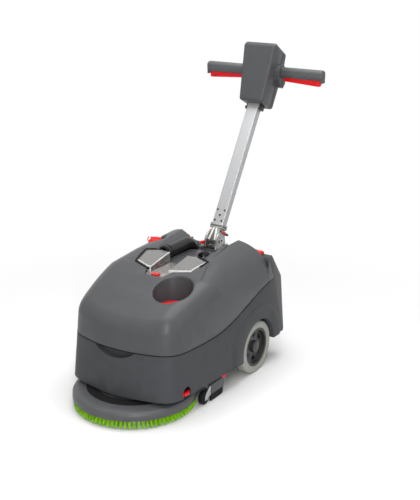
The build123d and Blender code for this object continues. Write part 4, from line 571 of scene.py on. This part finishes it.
def make_hinge():
    """Casting at the column's foot, its stop and its locking handle."""
    # Ribs of the casting in front of the eye, spread like the legs of an A, drawn in a light copy of the zinc as
    # painted highlight, and the web between them in a dark copy as painted shade
    front = frame_of(HINGE - REARWARD * FOOT_FRONT * MM, X, -REARWARD)
    for sign in SIDES:
        leg = pressed([(1.5 * sign, 39), (8.5 * sign, 39), (17 * sign, -4), (8.5 * sign, -8)], 6.4, front, 0.9)
        mount(leg, "foot_rib", "column", zinc_painted_highlight, "zinc_casting")
    web = pressed([(-9, 37), (9, 37), (16, -5), (-16, -5)], 3.6, front, 0.8)
    mount(web, "foot_web", "column", zinc_painted_shade, "zinc_casting")
    # Collar that closes the foot of the tube, drawn in the dark copy of the zinc as painted shade
    collar = column_brick((51.8, 34.8, 11), 0, 0, 48.5, 2.0)
    mount(collar, "tube_collar", "column", zinc_painted_shade, "zinc_casting")
    # Dark caps on the ends of the hinge pin
    for sign in SIDES:
        cap = turned(PIN_CAP, frame_of(HINGE + Vector((sign * PIN_END, 0, 0)), Y, (sign, 0, 0)), 24)
        mount(cap, "pin_cap", "column", dark_screw, "steel")
    # Rubber stop on the base that the folded column meets
    stop = brick((46, 14, 3.8), at(-2, 459, 409.9), 1.0)
    mount(stop, "fold_stop", "chassis", black_rubber, "black_rubber")
    # Black sleeve over the root of the locking handle, and the handle's own cross bar with red ends beside the casting
    sleeve = column_brick((34, 9, 5), 0, 22.5, 36, 1.0)
    mount(sleeve, "plunger_sleeve", "column", black_abs, "black_plastic")
    stem = column_brick((20, 9, 5), 0, 27, 29.5, 0.8)
    mount(stem, "plunger_stem", "plunger", black_abs, "black_plastic")
    yoke = column_brick((60, 5, 6), 0, 31.9, 29.5, 1.4)
    mount(yoke, "plunger_yoke", "plunger", black_abs, "black_plastic")
    for sign in SIDES:
        arm = column_brick((4, 30, 5), sign * 28, 17.5, 31, 1.0)
        mount(arm, "plunger_arm", "plunger", black_abs, "black_plastic")
        knob = column_brick((5.4, 13, 9), sign * 28.4, 4, 30, 1.8)
        mount(knob, "plunger_knob", "plunger", red_abs, "red_plastic")


# Clear lid

# EDGE is the near-white finish of painted highlight; FLOOR carries a painted reflection.
PANEL, EDGE, WALL, FLOOR = range(4)  # order of the lid's finishes
UPRIGHT = 0.5  # a face is a wall if its normal rises less than this
CHANNEL_SPAN = (152, 262)  # front and rear end of the channel's walls
CHANNEL_WALL, CHANNEL_FLOOR = 40, 35  # how far walls and floor reach from the middle
# The eased edge takes the near-white edge finish: painted highlight.
LID_EDGE = 1.3  # width of the polished edge
WING_CENTRE = (80, 210)
WING_FRONT, WING_HEIGHT, WING_SLOPE = 172, 426, 0.18  # the wings' top rises from here to the rear
RIM_RIGHT = [(37, 151.5), (50, 151.5), (107, 173), (120.5, 243.5)]
RIM_LEFT = [(37, 261), (37, 151.5), (50, 151.5), (107, 173)]
GASKET_LEFT = [(40, 147), (50, 147), (110.5, 169.5), (125.5, 245.5), (73, 269.5)]
GASKET_RIGHT = [(119, 208), (125.5, 245.5), (73, 269.5)]


def make_lid():
    """Clear panels whose edges and side walls are drawn near-white as a painted highlight; walls and floor of the
    channel are clearer, and the floor's lighter tone is a painted reflection.
    """
    lid = cad_copy("separator_lid", True)
    mount(lid, "separator_lid_skin", "lid", clear_lid, "clear_lid", "separator_lid")
    # Side walls and eased edges take the near-white finish as painted highlight; the channel's floor takes a painted
    # reflection.
    for finish in (clear_edge_painted_highlight, clear_wall, clear_floor_painted_reflection):
        lid.data.materials.append(finish)
    for face in lid.data.polygons:
        aside, y = abs(face.center.x), face.center.y
        if abs(face.normal.z) < UPRIGHT:
            in_channel = aside < CHANNEL_WALL * MM and back(CHANNEL_SPAN[0]) < y < back(CHANNEL_SPAN[1])
            face.material_index = WALL if in_channel else EDGE
        else:
            face.material_index = FLOOR if aside < CHANNEL_FLOOR * MM else PANEL
    ease(lid, LID_EDGE, SKIN_ANGLE, EDGE)
    smooth(lid)


def wing_top(y):
    """Height of the sloping top of the lid's wings."""
    return (WING_HEIGHT + WING_SLOPE * (behind(y) - WING_FRONT)) * MM


def make_lid_edges():
    """Rims of the wings, near-white as a painted highlight, and the gasket round the lid, drawn on the right and
    swapped for the left.
    """
    tank_top = top_of("water_tank")

    def rim(line):
        """Rim where a wing ends at the channel and at the front, drawn near-white as a painted highlight."""
        return band(line, WING_CENTRE, -2.2, 0.5, lambda x, y: wing_top(y) - 3 * MM, 3.8)

    def gasket(line):
        """Black gasket in the joint between tank and lid; its raised black wall below the wings' edges also paints the
        shade there.
        """
        return band(line, WING_CENTRE, 0.0, 6.0,
                    lambda x, y: max(tank_top(x, y) - 3 * MM, wing_top(y) - 7.5 * MM), 6.0)

    # The wing rims take the near-white edge finish: painted highlight.
    mount(rim(RIM_RIGHT), "wing_rim_right", "lid", clear_edge_painted_highlight, "clear_lid")
    mount(swapped(rim(RIM_LEFT)), "wing_rim_left", "lid", clear_edge_painted_highlight, "clear_lid")
    # The gaskets' raised black wall paints the shade under the wings' edges.
    mount(swapped(gasket(GASKET_LEFT)), "lid_gasket_left", "tank", black_rubber, "black_rubber")
    mount(gasket(GASKET_RIGHT), "lid_gasket_right", "tank", black_rubber, "black_rubber")


# Dark strip in the joint between lower body and tank: painted shade

# Parting line as (millimetres behind the brush axis, height)
SEAM_LINE = [(-200, 228), (60, 226), (180, 234), (300, 263), (420, 301), (560, 335)]
SEAM_CENTRE = (0, 220)  # x and back of the middle of the tank's outline
# The dark strip of painted shade runs this many degrees to either side of the front.
SEAM_TURN, SEAM_STEP = 140, 2  # degrees that the seal runs to either side of the front, and its step
WALL_LOOK = 14 * MM  # height above the parting line at which the tank's wall is looked for
LIP_LOOK = 2 * MM  # the same above its lower lip
LIP_INSET = 3.5 * MM  # the lip is met this far inside the outline
LIP_SEARCH = 20 * MM  # and within this distance of the parting line


def near_seam(distance):
    """Height of the parting line to within a few millimetres."""
    for (b0, z0), (b1, z1) in zip(SEAM_LINE, SEAM_LINE[1:]):
        if b0 <= distance <= b1:
            return (z0 + (z1 - z0) * (distance - b0) / (b1 - b0)) * MM


def make_seam():
    """Black strip that shows as a thin dark line between lower body and tank: painted shade in the joint."""
    tank = tree_of("water_tank")
    centre = Vector((0, back(SEAM_CENTRE[1]), 0))

    def lip(x, y):
        """Height of the tank's lower lip just inside a place on its outline."""
        inward = (centre - Vector((x, y, 0))).normalized() * LIP_INSET
        guess = near_seam(behind(y))
        hit = tank.ray_cast(Vector((x, y, guess - LIP_SEARCH)) + inward, Vector((0, 0, 1)), 2 * LIP_SEARCH)[0]
        return hit.z if hit else guess

    def wall(out, height):
        """Place on the tank's wall in one direction from the middle."""
        return tank.ray_cast(centre + out + Vector((0, 0, height)), -out)[0]

    line = []
    for angle in range(-SEAM_TURN, SEAM_TURN + 1, SEAM_STEP):
        out = Vector((math.sin(math.radians(angle)), -math.cos(math.radians(angle)), 0))
        height = near_seam(SEAM_CENTRE[1]) + WALL_LOOK
        # The height depends on the place, so it settles in a few rounds
        for _ in range(6):
            hit = wall(out, height)
            height = near_seam(behind(hit.y)) + WALL_LOOK
        hit = wall(out, lip(hit.x, hit.y) + LIP_LOOK) or hit
        line.append((hit.x / MM, behind(hit.y)))
    # Strip just under the tank's lip, black as painted shade in the parting line
    shade_strip = band(line, SEAM_CENTRE, -2.0, 1.0, lambda x, y: lip(x, y) - 2.0 * MM, 3.4)
    mount(shade_strip, "seam_shade_strip", "chassis", black_rubber, "black_rubber")


# Suction pipe, rubber port and filler

PIPE_X, PIPE_Z = -0.065, 0.431  # axis of the pipe's cuff in metres
CLAMPS = (271.0, 287.5)  # distance of each clamp band behind the brush axis
CLAMP_PROFILE = [(23.6, -1.6), (25.0, -1.3), (25.2, 0), (25.0, 1.3), (23.6, 1.6)]
PORT_CENTRE = (0.083, back(290), 0.440)
PORT_OUTER, PORT_INNER, PORT_FOOT, PORT_DEPTH = 17, 11, -9, 26
CAP_CENTRE = (-172, 367, 426.0)
CAP_RIBS, CAP_RIB_RADIUS = 20, 26.6


def make_top_details():
    """Small pieces on top of the lid and the tank."""
    # Clamp bands round the cuff of the suction pipe
    for distance in CLAMPS:
        clamp = turned(CLAMP_PROFILE, frame_of((PIPE_X, back(distance), PIPE_Z), X, Y), 48)
        mount(clamp, "pipe_band", "lid", black_rubber, "black_plastic")
    # Arched rubber port behind the right wing
    half_turn = [math.pi * i / 12 for i in range(13)]
    arch = [(PORT_OUTER * math.cos(a), PORT_OUTER * math.sin(a)) for a in half_turn]
    arch += [(-PORT_OUTER, PORT_FOOT), (-PORT_INNER, PORT_FOOT)]
    arch += [(PORT_INNER * math.cos(a), PORT_INNER * math.sin(a)) for a in reversed(half_turn)]
    arch += [(PORT_INNER, PORT_FOOT), (PORT_OUTER, PORT_FOOT)]
    port = pressed(arch, PORT_DEPTH, frame_of(PORT_CENTRE, X, FORWARD), 1.2)
    mount(port, "rubber_port", "tank", black_rubber, "black_rubber")
    # Grip ribs round the filler cap
    for step in range(CAP_RIBS):
        turn = Matrix.Rotation(math.tau * step / CAP_RIBS, 4, "Z")
        out = Matrix.Translation((CAP_RIB_RADIUS * MM, 0, 0))
        rib = brick((1.6, 2.2, 8.0), at(*CAP_CENTRE) @ turn @ out, 0.4)
        mount(rib, "cap_rib", "cap", red_abs, "red_plastic")


# Handle head

BAR_BACK, BAR_HEIGHT = 825, 977  # axis of the handle bar
GRIP_END = 239.2  # middle of the grip's end lip
PIN_X, PIN_Z, PIN_FRONT = 0.208, 0.9585, 6.7  # trigger pin in metres, and millimetres in front of the bar's axis
PANEL_CENTRE = Vector((0, back(840), 1.074))
PANEL_NORMAL = Vector((0, 0.5145, 0.8575))
PANEL_UP = Vector((0, -0.8575, 0.5145))
PIN_HEAD = [(0, 0), (2.6, 0), (2.6, 0.6), (2.0, 1.0), (0, 1.0)]
LAMP_LENS = [(0, 0), (2.0, 0), (2.0, 0.5), (1.4, 0.9), (0, 1.0)]
LAMPS, LAMP_PITCH = 4, 0.008  # pitch in metres


def on_panel(x, up, out):
    """Place on the control panel in metres: across, up its slope and out of its face."""
    return frame_of(PANEL_CENTRE + Vector((x, 0, 0)) + PANEL_UP * up + PANEL_NORMAL * out, X, PANEL_NORMAL)


def make_head():
    """Sleeve at the tube's end, end lips of the grips, trigger pins, display and lamps."""
    # Black sleeve where the tube enters the head, with a lug on each side
    sleeve = column_brick((60, 30, 22), 0, 7, 516, 2.0)
    mount(sleeve, "head_sleeve", "column", black_abs, "black_plastic")
    for sign, body in zip(SIDES, ("left_trigger", "right_trigger")):
        lug = column_brick((8, 18, 12), sign * 31, 2, 508, 1.6)
        mount(lug, "sleeve_lug", "column", black_abs, "black_plastic")
        lip = brick((7, 26, 24), at(sign * GRIP_END, BAR_BACK, BAR_HEIGHT), 2.2)
        mount(lip, "grip_lip", "column", grip_rubber, "body_grey")
        pin = turned(PIN_HEAD, frame_of((sign * PIN_X, back(BAR_BACK - PIN_FRONT), PIN_Z), X, FORWARD), 20)
        mount(pin, "trigger_pin", body, dark_screw, "steel")
    glass = brick((29.4, 21.4, 1.2), on_panel(0, 0.012, 0.0011), 0.4)
    mount(glass, "display_glass", "column", display_glass, "panel_black")
    for step in range(LAMPS):
        lamp = turned(LAMP_LENS, on_panel((step - (LAMPS - 1) / 2) * LAMP_PITCH, -0.018, 0.0009), 20)
        mount(lamp, "charge_lamp", "column", lamp_green if step else red_abs, "panel_black")


# Rear: handles of the tank clips, battery latch and ribs, louvres for the vacuum motor's air

CLIP_X = 0.167  # metres from the middle
CLIP_HANDLE = [(487, 404.4), (515, 404.4), (515, 410), (508, 418), (495, 420), (488, 413)]
DOOR_X = 97  # middle of the battery's face
RIBS, RIB_LOW, RIB_PITCH = 5, 166, 9
LOUVRE_X = -97
LOUVRES, LOUVRE_LOW, LOUVRE_PITCH = 8, 176, 10
LOUVRE_TILT = 0.5  # radians


def make_rear():
    """Small pieces on the rear housing and the battery."""
    for sign, body in zip(SIDES, ("tank_clip_left", "tank_clip_right")):
        handle = pressed(CLIP_HANDLE, 46, frame_of((sign * CLIP_X, BRUSH_Y, 0), Y, X), 1.6)
        mount(handle, "clip_handle", body, red_abs, "red_plastic")
    latch = brick((38, 5, 11), at(DOOR_X, 617.6, 284), 1.4)
    mount(latch, "battery_catch", "battery", red_abs, "red_plastic")
    for step in range(RIBS):
        rib = brick((74, 3, 3.2), at(DOOR_X, 617.2, RIB_LOW + RIB_PITCH * step), 0.8)
        mount(rib, "battery_rib", "battery", black_abs, "black_plastic")
    for step in range(LOUVRES):
        place = at(LOUVRE_X, 613.0, LOUVRE_LOW + LOUVRE_PITCH * step) @ Matrix.Rotation(LOUVRE_TILT, 4, "X")
        slat = brick((92, 5, 3.4), place, 0.9)
        mount(slat, "air_louvre", "chassis", deck_abs, "deck_grey")


# Squeegee

CASTER_CENTRE = (0.204, back(104), 0.024)
CASTER_HUB = [(0, -8.4), (6, -8.4), (6.8, -7.6), (6.8, 7.6), (6, 8.4), (0, 8.4)]


def make_squeegee_details():
    """Red clips that hold the outer blade, and the bright hubs in the guide wheels."""
    x, y, z = CASTER_CENTRE
    for sign in SIDES:
        clip = brick((7, 26, 12), at(sign * 212, 214, 62), 1.4)
        mount(clip, "blade_clip", "squeegee", red_abs, "red_plastic")
        hub = turned(CASTER_HUB, frame_of((sign * x, y, z), Y, X), 28)
        mount(hub, "caster_hub", "squeegee", plated_steel, "steel")


# Studio

WHITE = (1, 1, 1, 1)
PAPER_NEAR, PAPER_FAR = 0.7, 1.5  # metres from the origin between which the floor fades to plain white
FILL_LEVEL = 0.24  # strength of the world as a light; it is seen as plain white
# Softboxes as (name, place, aim, width, height, watts)
SOFTBOXES = [
    ("key_softbox", (-2.2, -2.6, 3.2), (0, 0, 0.4), 2.4, 2.4, 8),
    ("corner_strip", (2.1, -2.9, 1.7), (0, 0, 0.3), 0.2, 3.6, 98),
    ("top_softbox", (0.1, 0.2, 3.6), (0, 0, 0.4), 3.0, 3.0, 142),
]
# The photograph's view: place in metres, turn to the right of the front and dip in degrees
CAMERA_PLACE = (1.840, back(-2384), 1.526)
CAMERA_TURN, CAMERA_DIP = 32.93, 18.39
LENS_MM, SENSOR_MM = 72.0, 36.0


def seen_directly(tree):
    """1 for rays from the camera, off metal or through the clear lid, which see the studio's white."""
    path = add(tree, "ShaderNodeLightPath", {}, {})
    shiny = add(tree, "ShaderNodeMath", {"operation": "MAXIMUM"},
                {0: path.outputs["Is Glossy Ray"], 1: path.outputs["Is Transmission Ray"]})
    both = add(tree, "ShaderNodeMath", {"operation": "MAXIMUM"},
               {0: path.outputs["Is Camera Ray"], 1: shiny.outputs["Value"]})
    return both.outputs["Value"]


def aim(holder, place, direction):
    """Puts a lamp or camera in its place and turns it in a direction."""
    bpy.context.collection.objects.link(holder)
    holder.location = place
    holder.rotation_euler = direction.to_track_quat("-Z", "Y").to_euler()


def make_floor():
    """Pale paper that keeps the shadow and fades to white away from the machine."""
    bpy.ops.mesh.primitive_plane_add(size=60)
    floor = bpy.context.object
    floor.name = "studio_floor"
    paper, tree, surface, coords = new_finish("paper_white_seamless", {
        "Roughness": 0.9, "Specular IOR Level": 0.0, "Base Color": linear("#E9E9E9")})
    glow = add(tree, "ShaderNodeEmission", {}, {"Color": WHITE, "Strength": 1.0})
    reach = add(tree, "ShaderNodeVectorMath", {"operation": "LENGTH"}, {0: coords})
    far = add(tree, "ShaderNodeMapRange", {"interpolation_type": "SMOOTHSTEP"},
              {"Value": reach.outputs["Value"], "From Min": PAPER_NEAR, "From Max": PAPER_FAR})
    seen = add(tree, "ShaderNodeMath", {"operation": "MULTIPLY"},
               {0: far.outputs["Result"], 1: seen_directly(tree)})
    fade = add(tree, "ShaderNodeMixShader", {},
               {"Fac": seen.outputs["Value"], 1: surface.outputs["BSDF"], 2: glow.outputs["Emission"]})
    tree.links.new(fade.outputs["Shader"], tree.nodes["Material Output"].inputs["Surface"])
    floor.data.materials.append(paper)


def make_light():
    """Soft world light and three softboxes."""
    world = bpy.data.worlds.new("studio_white")
    bpy.context.scene.world = world
    world.use_nodes = True
    tree = world.node_tree
    level = add(tree, "ShaderNodeMapRange", {}, {"Value": seen_directly(tree), "To Min": FILL_LEVEL, "To Max": 1.0})
    background = tree.nodes["Background"]
    background.inputs["Color"].default_value = WHITE
    tree.links.new(level.outputs["Result"], background.inputs["Strength"])
    for name, place, target, width, height, watts in SOFTBOXES:
        lamp = bpy.data.lights.new(name, "AREA")
        lamp.shape = "RECTANGLE"
        lamp.size = width
        lamp.size_y = height
        lamp.energy = watts
        aim(bpy.data.objects.new(name, lamp), place, Vector(target) - Vector(place))


def make_camera():
    """Camera at the photograph's viewing angle."""
    lens = bpy.data.cameras.new("photo_camera")
    lens.lens = LENS_MM
    lens.sensor_width = SENSOR_MM
    holder = bpy.data.objects.new("photo_camera", lens)
    turn, dip = math.radians(CAMERA_TURN), math.radians(CAMERA_DIP)
    look = Vector((-math.sin(turn) * math.cos(dip), math.cos(turn) * math.cos(dip), -math.sin(dip)))
    aim(holder, CAMERA_PLACE, look)
    bpy.context.scene.camera = holder


make_skins()
make_brush()
make_deck_shade_ring()
make_tyres()
make_hinge()
make_lid()
make_seam()
make_lid_edges()
make_top_details()
make_head()
make_rear()
make_squeegee_details()
make_floor()
make_light()
make_camera()
bpy.context.scene.view_settings.view_transform = "Standard"
